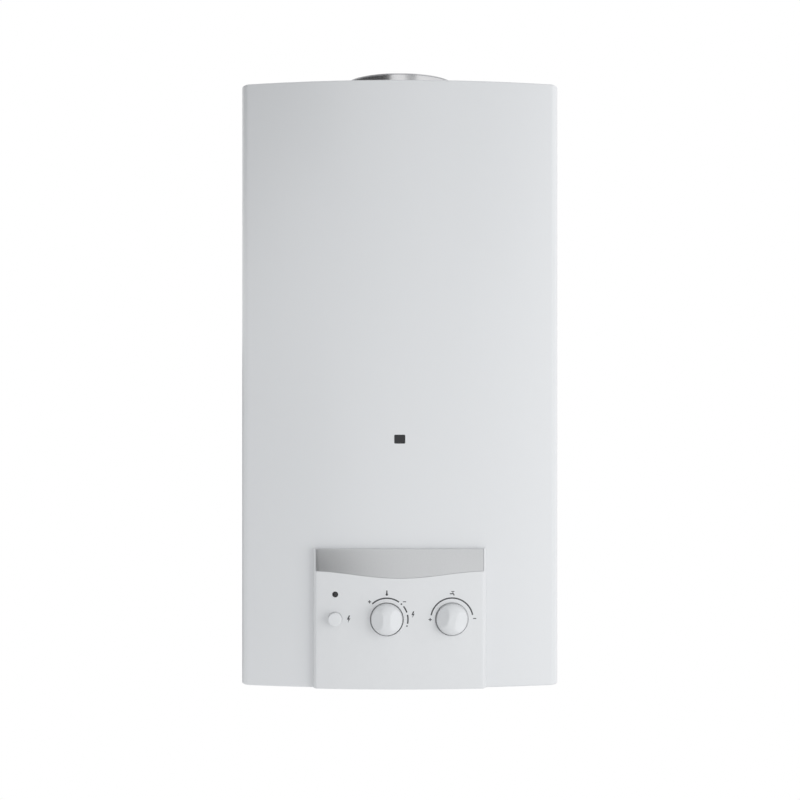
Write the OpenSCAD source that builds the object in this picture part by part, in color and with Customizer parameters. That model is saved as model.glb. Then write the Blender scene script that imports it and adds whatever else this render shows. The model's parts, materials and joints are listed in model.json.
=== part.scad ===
// Wall-hung gas water heater with its control fascia, valves, burner and heat exchanger.
// Frame: +Z up, the wall is the plane y = 0, the front faces -Y.
// The origin is midway between the two upper wall holes.
// Depths are measured from the wall, heights from the casing's lower edge.

/* [Casing] */
// Width of the casing
casing_w = 350; // [330:1:370]
// Height of the casing without the flue collar
casing_h = 662; // [655:1:700]
// Depth from the wall to the crown of the bowed front
casing_d = 240; // [236:1:260]
// Fall of the bowed front from its crown to the sides
front_bow = 24; // [16:1:28]
// Radius of the upright edges between front and sides
edge_r = 20; // [14:1:26]
// Thickness of the cover's sheet
sheet_t = 1; // [0.8:0.1:1.4]
// Width of the folded lip along the cover's top and bottom
lip_w = 12; // [8:1:16]
// Gap between the cover's rear edge and the wall
wall_gap = 1; // [0.5:0.5:3]
// Upper wall holes below the casing's top
fix_drop = 40; // [30:1:60]

/* [Back plate] */
// Thickness of the back plate
plate_t = 1.2; // [1:0.1:2]
// Depth of its folded side flanges
flange_d = 20; // [16:1:30]
// Lower edge of the plate above the casing's lower edge
plate_rise = 8; // [5:1:20]
// Distance between the wall holes
fix_spacing = 240; // [200:1:260]
// Diameter of the wall holes
fix_hole_d = 9; // [7:0.5:11]
// Height of the lower wall slots
foot_z = 58; // [52:1:70]
// Length of the lower wall slots
slot_len = 16; // [12:1:24]
// Width of the pressed stiffening beads
bead_w = 18; // [14:1:24]
// Depth of the pressed beads
bead_h = 3; // [2:0.5:4]
// Distance of a bead from the middle
bead_x = 84; // [78:1:92]

/* [Control fascia] */
// Width of the fascia's front
fascia_w = 182.5; // [175:0.5:200]
// Height of the fascia
fascia_h = 152; // [145:1:170]
// Rise of the fascia above the cover
fascia_rise = 8; // [7:0.5:10]
// Widening of each side toward the cover
fascia_draft = 3; // [1:0.5:5]
// Wall thickness of the fascia
fascia_wall = 2.5; // [2:0.1:3]
// Height of the silver band at its ends
trim_h = 24; // [18:1:30]
// Dip of the band's lower edge in the middle
trim_dip = 7.5; // [4:0.1:12]
// Thickness of the band
trim_t = 1.2; // [0.8:0.1:1.5]
// Diameter of the indicator lens
lens_d = 6.1; // [4:0.1:8]
// Lens above the push-button
lens_rise = 26.6; // [24:0.1:30]

/* [Knobs and button] */
// Height of both knobs and the button
control_z = 76; // [72:1:82]
// Side position of the gas knob
gas_x = -14; // [-18:0.5:-10]
// Side position of the temperature knob
water_x = 56.5; // [54:0.5:60]
// Side position of the push-button
button_x = -70; // [-74:0.5:-68]
// Diameter of a knob
knob_d = 34.5; // [30:0.5:38]
// Height of a knob at its crown
knob_h = 17; // [16:0.5:20]
// Width of the grip at its waist
grip_w = 8.6; // [6:0.1:12]
// Radius of the grip's waist
grip_waist = 58; // [45:1:80]
// Height of the knob's rim beside the grip
knob_rim = 6; // [5:0.5:8]
// Height of the knob's edge at the ends of the grip
knob_edge = 8; // [7:0.5:11]
// Taper of the knob's side from foot to crown
knob_draft = 1.6; // [0.5:0.1:2]
// Ring gap between a knob and its seat
seat_gap = 1; // [0.6:0.1:1.5]
// Angle at which the temperature knob stands
water_turn = 14; // [0:1:40]
// Inward travel of the gas knob
push_travel = 4; // [3:0.5:4]
// Diameter of the push-button
button_d = 14.8; // [12:0.1:16]
// Stand of the button above the fascia
button_proud = 9; // [8:0.5:12]
// Inward travel of the button
button_travel = 6; // [4:0.5:6.5]
// Diameter of the spindles
spindle_d = 8; // [7:0.5:9]

/* [Sight window] */
// Width of the sight window
window_w = 12; // [9:0.1:16]
// Height of the sight window
window_h = 9.7; // [8:0.1:14]
// Height of its middle
window_z = 271; // [255:1:285]
// Corner radius of the window
window_r = 1.2; // [0.6:0.1:2]
// Thickness of the glass
glass_t = 1.5; // [1:0.1:2]

/* [Flue] */
// Outer diameter of the flue collar
collar_d = 125; // [110:1:127]
// Rise of the collar above the casing
collar_rise = 20.5; // [12:0.5:30]
// Wall of the collar
collar_t = 1; // [0.8:0.1:1.5]
// Width of the collar's foot flange
collar_foot = 8; // [5:1:10]
// Top of the draught hood below the casing's top
hood_drop = 20; // [14:1:26]
// Sheet of the draught hood
hood_t = 1.2; // [1:0.1:1.5]
// Width of the hood's neck
hood_neck = 146; // [144:1:160]
// Gap between the roof panel and the cover
roof_gap = 6; // [4:1:10]
// Width of the roof's air slots
vent_w = 6; // [4:0.5:8]

/* [Heat exchanger] */
// Width of the combustion chamber
chamber_w = 220; // [210:1:226]
// Depth of the combustion chamber
chamber_d = 130; // [128:1:134]
// Height of the combustion chamber
chamber_h = 225; // [220:1:235]
// Lower edge of the chamber
chamber_z = 245; // [242:1:250]
// Sheet of the chamber
chamber_t = 1.2; // [1:0.1:1.5]
// Chamber's middle behind the crown of the front
chamber_set = 120; // [116:1:124]
// Number of fins
fin_count = 40; // [24:1:44]
// Thickness of a fin
fin_t = 0.6; // [0.5:0.1:1]
// Height of the fin block
fin_h = 40; // [32:1:44]
// Diameter of the tubes through the fins
tube_d = 16; // [14:0.5:17]
// Distance between two tubes
tube_pitch = 26.5; // [25:0.5:27]
// Diameter of the copper pipes
pipe_d = 15; // [13:0.5:15]
// Middle-line radius of the pipe bends
bend_r = 16; // [15:0.5:16.5]
// First coil loop above the chamber's lower edge
loop_z = 40; // [36:1:44]
// Distance between coil loops
loop_pitch = 55; // [50:1:58]

/* [Burner] */
// Number of burner bars
bar_count = 12; // [10:2:12]
// Gap from the burner frame's side to the chamber's side
frame_gap = 2; // [1:0.5:4]
// Thickness of a bar
bar_t = 9; // [7:0.5:10]
// Height of a bar
bar_h = 36; // [32:1:38]
// Gap between the bars and the chamber
burner_gap = 12; // [10:1:16]
// Height of the burner frame
frame_h = 30; // [28:1:32]
// Sheet of the burner frame and the brackets
frame_t = 1.2; // [1:0.1:1.5]
// Diameter of the gas manifold
manifold_d = 16; // [14:0.5:18]

/* [Valves] */
// Diameter of the gas valve's barrel
barrel_d = 50; // [46:1:54]
// Diameter of the diaphragm housing
housing_d = 72; // [68:1:74]
// Front shoulder of both valves behind the crown of the front
shoulder_set = 36; // [34:1:40]
// Gap between the valves' shoulder and the diaphragm housing
housing_gap = 3; // [2:0.5:6]
// Length of the valve noses
nose_len = 18; // [14:1:20]
// Travel of the push rod
rod_travel = 3; // [2:0.5:3.5]
// Diameter of the push rod
rod_d = 6; // [5:0.5:7]

/* [Connections] */
// Outer diameter of the pipe threads
thread_d = 20.96; // [20:0.01:22]
// Length of a thread
thread_len = 14; // [10:1:16]
// Lower end of the threads below the casing
thread_drop = 20; // [16:1:24]
// Distance between two connections
port_pitch = 60; // [58:1:62]
// Depth of the connections from the wall
port_y = 45; // [42:1:48]
// Width across the fittings' hexagons
hex_w = 30; // [27:1:32]

/* [Hidden] */
$fn = 64;
// Steps of the wide arcs in the bows of the casing and the fascia
bow_fn = 720;
// Clearances: sliding pieces, parts that touch, and a piece inside another
slide_gap = 0.3;
touch_gap = 0.2;
bore_gap = 0.05;
// Overshoot of a cut past the face that it opens
cut = 1;

// Casing
casing_bottom = fix_drop - casing_h;
bow_r = (casing_w * casing_w / 4 + front_bow * front_bow) / (2 * front_bow);
edge_share = 0.65;
edge_y = casing_d - front_bow - edge_share * edge_r;
plate_w = casing_w - 2 * (sheet_t + slide_gap);
plate_top = casing_h - sheet_t - slide_gap;
cover_screw_d = 4;
cover_screw_y = flange_d / 2;
cover_screw_z = 24;
cover_screw_in = 8;
bead_end = 70;

// Fascia
fascia_r = bow_r + fascia_rise;
fascia_edge = casing_d + fascia_rise - bow_drop(fascia_w / 2, fascia_r);
// Steps of the band's wave on each side of the middle
trim_steps = 16;
fascia_cut_z = 12;
seat_d = knob_d + 2 * seat_gap;
seat_lip = 0.8;
seat_y = fascia_y(water_x + seat_d / 2) - seat_lip;
shaft_clear = 1.5;
shaft_hole_d = spindle_d + 2 * shaft_clear;
guide_d = button_d + 2 * fascia_wall;
guide_len = 5;
guide_y = fascia_y(button_x) - fascia_wall - guide_len;
lens_flange = 3;
lens_t = 1.2;
lens_y = fascia_y(button_x);
lens_relief = 0.6;
lens_seat = fascia_wall + lens_relief;
lens_sunk = 0.5;
hook_x = 50;
hook_w = 12;
hook_t = 3;
hook_catch = 2.5;
hook_reach = 11;

// Knobs and button
knob_skirt = 2;
knob_crown = 4;
knob_cavity = 3;
knob_hub_d = 14;
knob_socket = 12;
spindle_flat = 2.6;
knob_clear = 0.5;
gas_knob_y = seat_y + push_travel + knob_clear;
water_knob_y = seat_y + knob_clear;
spindle_tail = 12;
pin_d = 5;
pin_len = 24;
plunger_d = 6;
flange_over = 2;
flange_len = 2;
flange_clear = 2;
fascia_cut_w = button_d + 2 * (flange_over + flange_clear - button_x);
button_round = 1.2;

// Sight window
glass_edge = 4;
glass_frame_edge = 3;
glass_frame_lip = 1;
glass_y = casing_d - sheet_t - bow_drop(window_w / 2 + glass_edge + glass_frame_edge, bow_r);

// Flue and hood
hood_z = chamber_z + chamber_h;
hood_top = casing_h - hood_drop;
hood_h = hood_top - hood_z;
hood_straight = 60;
hood_neck_h = 26;
hood_slope = hood_h - hood_neck_h;
hood_bracket_drop = 69;
hood_bracket_z = hood_top - hood_bracket_drop;
collar_round = 0.5;
flue_ledge = 4;
flue_hole_d = collar_d - 2 * collar_t - 2 * flue_ledge;
relief_w = 160;
relief_h = 20;
relief_z = 10;
baffle_w = 100;
baffle_rise = 16;
baffle_drop = 77;
baffle_z = hood_top - baffle_drop;
roof_fold = 20;
vent_long = 90;
vent_short = 36;
vent_gap = 22;
vent_x = hood_neck / 2 + vent_gap;
vent_pitch = 26;
vent_front_pitch = 52;

// Thermostats on the chamber and the hood
sensor_d = 16;
sensor_h = 6;
sensor_rise = 14;
limiter_d = 18;
limiter_h = 7;
limiter_rise = 20;
tab_pitch = 8;
tab_w = 4;
tab_len = 8;
tab_t = 0.8;

// Heat exchanger
chamber_y = casing_d - chamber_set;
chamber_back = chamber_y - chamber_d / 2;
chamber_front = chamber_y + chamber_d / 2;
vent_front_gap = 20;
vent_front_y = chamber_front + vent_front_gap;
tube_z = hood_z - fin_h / 2;
tube_out = 3;
chamber_r = bend_r - pipe_d / 2 - touch_gap;
fin_margin = chamber_r - chamber_t + touch_gap;
coil_x = chamber_w / 2 + pipe_d / 2 + touch_gap;
coil_front = chamber_front + pipe_d / 2 + touch_gap;
coil_back = chamber_back - pipe_d / 2 - touch_gap;
loop_1 = chamber_z + loop_z;
loop_2 = loop_1 + loop_pitch;
loop_3 = loop_2 + loop_pitch;
coil_lead = 30;
coil_start_y = chamber_y - coil_lead;
riser_x = 60;
side_x = chamber_w / 2 + tube_out + 2 * bend_r;
tube_first = chamber_y - 1.5 * tube_pitch;
tube_last = chamber_y + 1.5 * tube_pitch;

// Burner
bar_top = chamber_z - burner_gap;
frame_z = bar_top - bar_h - frame_t;
frame_side = 12;
frame_inset = 3;
frame_w = chamber_w - 2 * frame_gap;
bar_pitch = (frame_w - 2 * frame_side) / bar_count;
frame_back = chamber_back + frame_inset;
frame_front = chamber_front - frame_inset;
frame_lip = 8;
port_count = 14;
port_w = 3;
port_deep = 8;
inlet_d = 8;
inlet_len = 40;
inlet_clear = 1;
injector_d = 7;
injector_z = frame_z + frame_h / 2;
manifold_stand = 18;
manifold_y = frame_front + manifold_stand;
manifold_end = 8;
manifold_len = frame_w - 2 * manifold_end;
manifold_step = 0.5;
manifold_boss_d = manifold_d - 2 * manifold_step;
manifold_boss_len = 6;
manifold_boss_z = injector_z - manifold_d / 2 - manifold_boss_len;
cheek_t = 2 * frame_t;
cheek_edge = 2;
feed_d = 12;
pilot_d = 6;
pilot_y = frame_front + frame_t + pilot_d / 2 + touch_gap;
pilot_pitch = bar_pitch;
pilot_lap = 4;
pilot_z = frame_z + frame_h - pilot_lap;
pilot_gap = 2;
pilot_top = chamber_z - pilot_gap;
pilot_neck = 4;
pilot_neck_z = bar_top + pilot_neck;
pilot_rim = 1;
pilot_head_d = pilot_d + 2 * pilot_rim;
bracket_lap = 7;
pilot_margin = 18;
electrode_rise = 18;
electrode_z = frame_z + electrode_rise;
ceramic_rise = 2;
ceramic_top = bar_top + ceramic_rise;
pilot_pipe_d = 4;
electrode_rod_d = 2;
capillary_d = 2.5;
lead_d = 5;
thin_bend = 8;
lead_front = 15;
lead_drop = 14;
lead_back = 20;
lead_y = manifold_y + lead_front;
lead_z = frame_z - lead_drop;
capillary_drop = 26;
capillary_z = frame_z - capillary_drop;
capillary_low_z = 4;
capillary_side = 24;

// Valves
shoulder_y = casing_d - shoulder_set;
valve_y = shoulder_y - housing_gap - housing_d / 2;
nose_y = shoulder_y + nose_len;
gas_nose_d = 22;
water_nose_d = 20;
cross_d = 36;
cross_end = 20;
pad_w = 44;
pad_t = 6;
boss_d = 28;
gas_run = 50;
gas_boss_y = port_y + gas_run;
gas_out_len = 21;
gas_out_z = control_z + barrel_d / 2 + gas_out_len;
barrel_rear = 40;
gas_cross = 30;
gas_cross_z = gas_out_z + gas_cross;
pilot_boss_d = 10;
pilot_boss_set = 15;
pilot_boss_len = 4;
pilot_boss_y = valve_y - pilot_boss_set;
pilot_boss_z = control_z + barrel_d / 2 + pilot_boss_len;
magnet_d = 30;
magnet_wall = 2;
magnet_side = 10;
magnet_drop = 7;
magnet_x = gas_x - magnet_side;
magnet_z = control_z - barrel_d / 2 - magnet_drop;
magnet_len = 26;
capillary_x = magnet_x - capillary_side;
capillary_nut_len = 8;
cover_x = 36;
cover_t = 10;
hub_d = 26;
hub_len = 4;
well_spare = 3;
well_deep = rod_travel + well_spare;
well_d = 56;
disc_t = 2.5;
disc_d = 47;
diaphragm_t = 2;
diaphragm_edge = 1;
body_x = cover_x + cover_t + diaphragm_t;
body_t = 12;
body_barrel_len = 30;
body_barrel_d = 54;
body_shoulder_d = 30;
water_port_drop = 18;
water_port_z = control_z - water_port_drop;
water_boss_d = 26;
water_run = 51;
water_boss_y = port_y + water_run;
water_out_x = 90;
valve_screw_d = 7;
valve_screw_len = 4;
valve_screw_edge = 1;
bracket_y = shoulder_y;
bracket_t = 1.5;
bracket_h = 64;
bracket_left_end = 20;
bracket_right_end = 26;
bracket_left = button_x - bracket_left_end;
bracket_right = water_x + bracket_right_end;
igniter_d = 20;
igniter_neck_d = 14;
igniter_len = 54;
igniter_nut_len = 4;

// Connections
fitting_hex = 9;
neck_d = 18;
neck_len = 13;
rail_z = fitting_hex + thread_len - thread_drop;
rail_t = 2;
rail_end = 28;
rail_front = 21;
rail_w = 2 * port_pitch + 2 * rail_end;
rail_reach = port_y + rail_front;
rail_back_h = 37;
rail_screw_in = 12;
rail_screw_drop = 10;
rail_screw_z = rail_z + rail_back_h - rail_screw_drop;
fitting_top = rail_z + neck_len;
nut_w = 27;
nut_len = 13;
bore_d = 12;
hot_drop_z = 110;
coil_start_z = frame_z - nut_len;
pilot_cross_z = gas_out_z + nut_len + pilot_pipe_d;
cold_cross = 20;
lead_cross = 30;
cold_cross_z = hot_drop_z + cold_cross;
lead_cross_z = hot_drop_z + lead_cross;
screw_head_d = 8;
screw_head_h = 3;
screw_rise = 11;

// Brackets on the back plate: their folds, and how far they stand above the pieces they carry
bracket_fold = 18;
burner_fold = 4;
chamber_fold = 8;
upper_fold = 12;
bracket_screw_x = 42;

// Places and small helpers
function at(x, d, z) = [x, -d, casing_bottom + z];
function bow_drop(x, r) = r - sqrt(r * r - x * x);
function fascia_y(x) = casing_d + fascia_rise - bow_drop(x, fascia_r);
function fascia_half(d) = fascia_w / 2 + fascia_draft * (fascia_edge - d) / fascia_rise;
function unit(v) = v / norm(v);
function bar_x(i) = (i - (bar_count - 1) / 2) * bar_pitch;

// A cylinder toward the front, from depth d0 to depth d1
module front_rod(x, d0, d1, z, d) {
  translate(at(x, d0, z)) rotate([90, 0, 0]) cylinder(h = d1 - d0, d = d);
}

// A cylinder along X, from x0 to x1
module side_rod(x0, x1, y, z, d) {
  translate(at(x0, y, z)) rotate([0, 90, 0]) cylinder(h = x1 - x0, d = d);
}

// An upright cylinder, from height z0 to height z1
module up_rod(x, y, z0, z1, d) {
  translate(at(x, y, z0)) cylinder(h = z1 - z0, d = d);
}

// A box between two depths and two heights
module block(x0, x1, d0, d1, z0, z1) {
  translate(at(x0, d1, z0)) cube([x1 - x0, d1 - d0, z1 - z0]);
}

// A flat shape in the front view, given depth from d0 to d1
module front_plate(d0, d1) {
  translate(at(0, d0, 0)) rotate([90, 0, 0]) linear_extrude(d1 - d0) children();
}

// A flat shape in the plan, given height from z0 to z1
module tall(z0, z1) {
  translate([0, 0, casing_bottom + z0]) linear_extrude(z1 - z0) children();
}

// A slot with round ends along X
module slot_shape(len, w) {
  square([len, w], center = true);
  for (s = [-1, 1]) translate([s * len / 2, 0]) circle(d = w);
}

// A rectangle with round corners about its middle
module round_rect(w, h, r) {
  square([w - 2 * r, h], center = true);
  square([w, h - 2 * r], center = true);
  for (sx = [-1, 1], sy = [-1, 1]) translate([sx * (w / 2 - r), sy * (h / 2 - r)]) circle(r = r);
}

// A pipe through points that are joined by runs along the axes
module pipe(p, d, r) {
  last = len(p) - 1;
  for (i = [0 : last - 1]) {
    u = unit(p[i + 1] - p[i]);
    a = p[i] + (i == 0 ? 0 : r) * u;
    b = p[i + 1] - (i == last - 1 ? 0 : r) * u;
    if (norm(b - a) > bore_gap)
      translate(a) rotate([0, acos(u[2]), atan2(u[1], u[0])]) cylinder(h = norm(b - a), d = d);
  }
  for (i = [1 : last - 1]) pipe_bend(p[i], unit(p[i] - p[i - 1]), unit(p[i + 1] - p[i]), d, r);
}

// A quarter bend at corner c, from direction u to direction w
module pipe_bend(c, u, w, d, r) {
  n = cross(u, w);
  o = c - r * u + r * w;
  multmatrix([[-w[0], u[0], n[0], o[0]],
              [-w[1], u[1], n[1], o[1]],
              [-w[2], u[2], n[2], o[2]],
              [0, 0, 0, 1]])
    rotate_extrude(angle = 90) translate([r, 0]) circle(d = d);
}

// A hexagon nut that stands on its rear face
module hex_nut(w, len, bore) {
  difference() {
    cylinder(h = len, d = w / cos(30), $fn = 6);
    translate([0, 0, -cut]) cylinder(h = len + 2 * cut, d = bore);
  }
}

// A folded bracket between the back plate and a piece at depth d1
module wall_bracket(x0, x1, d1, z0, fold) {
  block(x0, x1, plate_t, d1, z0, z0 + frame_t);
  block(x0, x1, plate_t, plate_t + frame_t, z0, z0 + fold);
  block(x0, x1, d1 - frame_t, d1, z0, z0 + fold);
}

// Casing
// The cover's outline in the plan, drawn in by inset and open to the rear
module casing_plan(inset, rear) {
  intersection() {
    translate([0, bow_r - casing_d]) circle(r = bow_r - inset, $fn = bow_fn);
    union() {
      translate([inset - casing_w / 2, -edge_y]) square([casing_w - 2 * inset, edge_y - rear]);
      for (s = [-1, 1]) translate([s * (casing_w / 2 - edge_r), -edge_y]) circle(r = edge_r - inset);
      translate([edge_r - casing_w / 2, -casing_d]) square([casing_w - 2 * edge_r, casing_d - rear]);
    }
  }
}

module casing_lip() {
  difference() {
    casing_plan(0, wall_gap);
    casing_plan(lip_w, -cut);
  }
}

module front_cover() color("white") difference() {
  union() {
    tall(0, casing_h) difference() {
      casing_plan(0, wall_gap);
      casing_plan(sheet_t, -cut);
    }
    tall(0, sheet_t) casing_lip();
    tall(casing_h - sheet_t, casing_h) casing_lip();
  }
  front_plate(casing_d - front_bow, casing_d + cut) translate([0, window_z])
    round_rect(window_w, window_h, window_r);
  block(-fascia_cut_w / 2, fascia_cut_w / 2, casing_d - front_bow, casing_d + cut,
        fascia_cut_z, fascia_h - fascia_cut_z);
  side_rod(-casing_w, casing_w, cover_screw_y, cover_screw_z, cover_screw_d + 2 * touch_gap);
}

module cover_screws() color("silver") for (s = [-1, 1]) mirror([s < 0 ? 1 : 0, 0, 0]) {
  side_rod(casing_w / 2, casing_w / 2 + screw_head_h, cover_screw_y, cover_screw_z, screw_head_d);
  side_rod(plate_w / 2 - cover_screw_in, casing_w / 2, cover_screw_y, cover_screw_z, cover_screw_d);
}

module back_plate() color("gainsboro") difference() {
  union() {
    tall(plate_rise, plate_top) {
      translate([-plate_w / 2, -plate_t]) square([plate_w, plate_t]);
      for (s = [-1, 1]) translate([s * (plate_w - plate_t) / 2 - plate_t / 2, -flange_d])
        square([plate_t, flange_d]);
    }
    for (s = [-1, 1]) front_plate(0, plate_t + bead_h) bead_shape(s, bead_w);
  }
  for (s = [-1, 1]) front_plate(-cut, bead_h) bead_shape(s, bead_w - 2 * plate_t);
  for (s = [-1, 1]) front_rod(s * fix_spacing / 2, -cut, plate_t + cut, casing_h - fix_drop, fix_hole_d);
  for (s = [-1, 1]) front_plate(-cut, plate_t + cut) translate([s * fix_spacing / 2, foot_z])
    slot_shape(slot_len - fix_hole_d, fix_hole_d);
  side_rod(-casing_w, casing_w, cover_screw_y, cover_screw_z, cover_screw_d + 2 * touch_gap);
}

// An upright bead beside the brackets
module bead_shape(s, w) {
  translate([s * bead_x, casing_h / 2]) rotate(90) slot_shape(casing_h - 2 * bead_end, w);
}

// Control fascia
module bow_disc(r) {
  translate([0, bow_r - casing_d]) circle(r = r, $fn = bow_fn);
}

// The fascia's filled outline in the plan, drawn in by inset
module fascia_plan(inset) {
  rear = casing_d - front_bow;
  front = casing_d + fascia_rise + cut;
  intersection() {
    bow_disc(fascia_r - inset);
    polygon([[inset - fascia_half(rear), -rear], [fascia_half(rear) - inset, -rear],
             [fascia_half(front) - inset, -front], [inset - fascia_half(front), -front]]);
  }
}

// The band's face, whose lower edge dips in a smooth wave toward the middle
module trim_face() {
  reach = fascia_w / 2 + 2 * fascia_draft;
  low = fascia_h - trim_h - trim_dip;
  wave = [for (i = [-trim_steps : trim_steps]) let (share = i / trim_steps)
          [reach * share, low + trim_dip * (1 - cos(180 * share)) / 2]];
  polygon(concat(wave, [[reach, fascia_h + cut], [-reach, fascia_h + cut]]));
}

// A hook behind the fascia that catches the edge of the cover's opening, side = 1 at its top
module fascia_hook(x, z, side) {
  front = fascia_y(x + sign(x) * hook_w / 2) - fascia_wall / 2;
  rear = front - hook_reach;
  block(x - hook_w / 2, x + hook_w / 2, rear, front,
        z - (side > 0 ? hook_t : 0), z + (side > 0 ? 0 : hook_t));
  block(x - hook_w / 2, x + hook_w / 2, rear, rear + hook_t - slide_gap,
        z - (side > 0 ? hook_t : hook_catch), z + (side > 0 ? hook_catch : hook_t));
}

module control_fascia() color("whitesmoke") difference() {
  union() {
    difference() {
      tall(0, fascia_h) difference() {
        fascia_plan(0);
        bow_disc(bow_r + touch_gap);
      }
      tall(fascia_wall, fascia_h - fascia_wall) fascia_plan(fascia_wall);
    }
    intersection() {
      tall(0, fascia_h) fascia_plan(0);
      union() {
        for (x = [gas_x, water_x])
          front_rod(x, seat_y - fascia_wall, casing_d + fascia_rise, control_z, seat_d + 2 * fascia_wall);
        front_rod(button_x, guide_y, casing_d + fascia_rise, control_z, guide_d);
      }
    }
    for (s = [-1, 1]) {
      fascia_hook(s * hook_x, fascia_cut_z + slide_gap, -1);
      fascia_hook(s * hook_x, fascia_h - fascia_cut_z - slide_gap, 1);
    }
  }
  for (x = [gas_x, water_x]) {
    front_rod(x, seat_y, casing_d + fascia_rise + cut, control_z, seat_d);
    front_rod(x, seat_y - fascia_wall - cut, seat_y + cut, control_z, shaft_hole_d);
  }
  front_rod(button_x, guide_y - cut, casing_d + fascia_rise, control_z, button_d + 2 * slide_gap);
  front_rod(button_x, guide_y, casing_d + fascia_rise, control_z + lens_rise, lens_d + 2 * touch_gap);
  intersection() {
    tall(0, fascia_h + cut) difference() {
      bow_disc(fascia_r + cut);
      bow_disc(fascia_r - trim_t);
    }
    front_plate(casing_d - front_bow, casing_d + fascia_rise + cut) trim_face();
  }
}

module trim_band() color("silver") intersection() {
  tall(0, fascia_h) difference() {
    fascia_plan(0);
    bow_disc(fascia_r - trim_t);
  }
  front_plate(casing_d - front_bow, casing_d + fascia_rise + cut) trim_face();
}

module indicator_lens() color("black") {
  z = control_z + lens_rise;
  front_rod(button_x, lens_y - lens_seat, lens_y - lens_sunk, z, lens_d);
  front_rod(button_x, lens_y - lens_seat - lens_t, lens_y - lens_seat, z, lens_d + lens_flange);
}

// Knobs
// A domed knob that stands on z = 0, with its grip along Y and a scoop on each side
module knob_shape() {
  r = knob_d / 2;
  drop = knob_h - knob_edge;
  dome_r = ((r - knob_crown) * (r - knob_crown) + drop * drop) / (2 * drop);
  scoop_x = grip_w / 2 + grip_waist;
  scoop_z = (grip_waist * grip_waist + knob_h * knob_h - (r - scoop_x) * (r - scoop_x)
             - knob_rim * knob_rim) / (2 * (knob_h - knob_rim));
  scoop_r = norm([grip_waist, knob_h - scoop_z]);
  difference() {
    rotate_extrude() intersection() {
      polygon([[0, 0], [r, 0], [r - knob_draft, knob_h + cut], [0, knob_h + cut]]);
      union() {
        square([knob_crown, knob_h]);
        translate([knob_crown, knob_h - dome_r]) circle(r = dome_r);
      }
    }
    for (s = [-1, 1]) translate([s * scoop_x, 0, scoop_z]) sphere(r = scoop_r);
    difference() {
      translate([0, 0, -cut]) cylinder(h = knob_cavity + cut, d = knob_d - 2 * knob_skirt);
      translate([0, 0, -2 * cut]) cylinder(h = knob_cavity + 4 * cut, d = knob_hub_d);
    }
    spindle_shape(spindle_d + 2 * bore_gap, -cut, knob_socket, -2 * cut);
  }
}

// A round shaft from height a to height b, with one flat above height f
module spindle_shape(d, a, b, f) {
  difference() {
    translate([0, 0, a]) cylinder(h = b - a, d = d);
    translate([spindle_flat + (d - spindle_d) / 2, -d, f]) cube([d, 2 * d, b - f + cut]);
  }
}

module knob_place(x, y, turn) {
  translate(at(x, y, control_z)) rotate([90, 0, 0]) rotate(-turn) children();
}

// A spindle from its valve's nose up into the knob at depth y
module knob_spindle(x, y, turn) {
  knob_place(x, y, turn) spindle_shape(spindle_d, nose_y - spindle_tail - y, knob_socket - slide_gap, -cut);
}

module gas_knob() color("white") knob_place(gas_x, gas_knob_y, 0) knob_shape();

module gas_spindle() color("gold") knob_spindle(gas_x, gas_knob_y, 0);

module gas_thrust_pin() color("silver")
  front_rod(gas_x, nose_y - spindle_tail - pin_len, nose_y - spindle_tail - bore_gap, control_z, pin_d);

module temperature_knob() color("white") knob_place(water_x, water_knob_y, water_turn) knob_shape();

module water_spindle() color("gold") knob_spindle(water_x, water_knob_y, water_turn);

module igniter_button() color("white") {
  top = fascia_y(button_x) + button_proud;
  flange_y = guide_y - slide_gap - flange_len;
  translate(at(button_x, flange_y, control_z)) rotate([90, 0, 0]) rotate_extrude() {
    square([button_d / 2 + flange_over, flange_len]);
    square([button_d / 2, top - flange_y - button_round]);
    square([button_d / 2 - button_round, top - flange_y]);
    translate([button_d / 2 - button_round, top - flange_y - button_round]) circle(r = button_round);
  }
  front_rod(button_x, nose_y - spindle_tail, flange_y, control_z, plunger_d);
}

module piezo_igniter() color("dimgray") difference() {
  union() {
    front_rod(button_x, bracket_y - igniter_len, bracket_y, control_z, igniter_d);
    front_rod(button_x, bracket_y, nose_y, control_z, igniter_neck_d);
  }
  front_rod(button_x, nose_y - spindle_tail - button_travel - cut, nose_y + cut, control_z,
            plunger_d + 2 * slide_gap);
}

module igniter_nut() color("silver") translate(at(button_x, bracket_y + bracket_t, control_z))
  rotate([90, 0, 0]) hex_nut(igniter_d, igniter_nut_len, igniter_neck_d + 2 * touch_gap);

module control_bracket() color("gainsboro") difference() {
  block(bracket_left, bracket_right, bracket_y, bracket_y + bracket_t,
        control_z - bracket_h / 2, control_z + bracket_h / 2);
  front_rod(gas_x, bracket_y - cut, nose_y, control_z, gas_nose_d + 2 * touch_gap);
  front_rod(water_x, bracket_y - cut, nose_y, control_z, water_nose_d + 2 * touch_gap);
  front_rod(button_x, bracket_y - cut, nose_y, control_z, igniter_neck_d + 2 * touch_gap);
}

// Sight window
module sight_glass() color("dimgray")
  block(-window_w / 2 - glass_edge, window_w / 2 + glass_edge, glass_y - glass_t, glass_y,
        window_z - window_h / 2 - glass_edge, window_z + window_h / 2 + glass_edge);

module sight_glass_frame() color("silver") {
  x = window_w / 2 + glass_edge;
  z = window_h / 2 + glass_edge;
  difference() {
    block(-x - glass_frame_edge, x + glass_frame_edge, glass_y - glass_t - glass_frame_lip, glass_y,
          window_z - z - glass_frame_edge, window_z + z + glass_frame_edge);
    block(-x - bore_gap, x + bore_gap, glass_y - glass_t, glass_y + cut,
          window_z - z - bore_gap, window_z + z + bore_gap);
    block(-x + glass_frame_lip, x - glass_frame_lip, glass_y - 2 * glass_t - glass_frame_lip, glass_y,
          window_z - z + glass_frame_lip, window_z + z - glass_frame_lip);
  }
}

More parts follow.
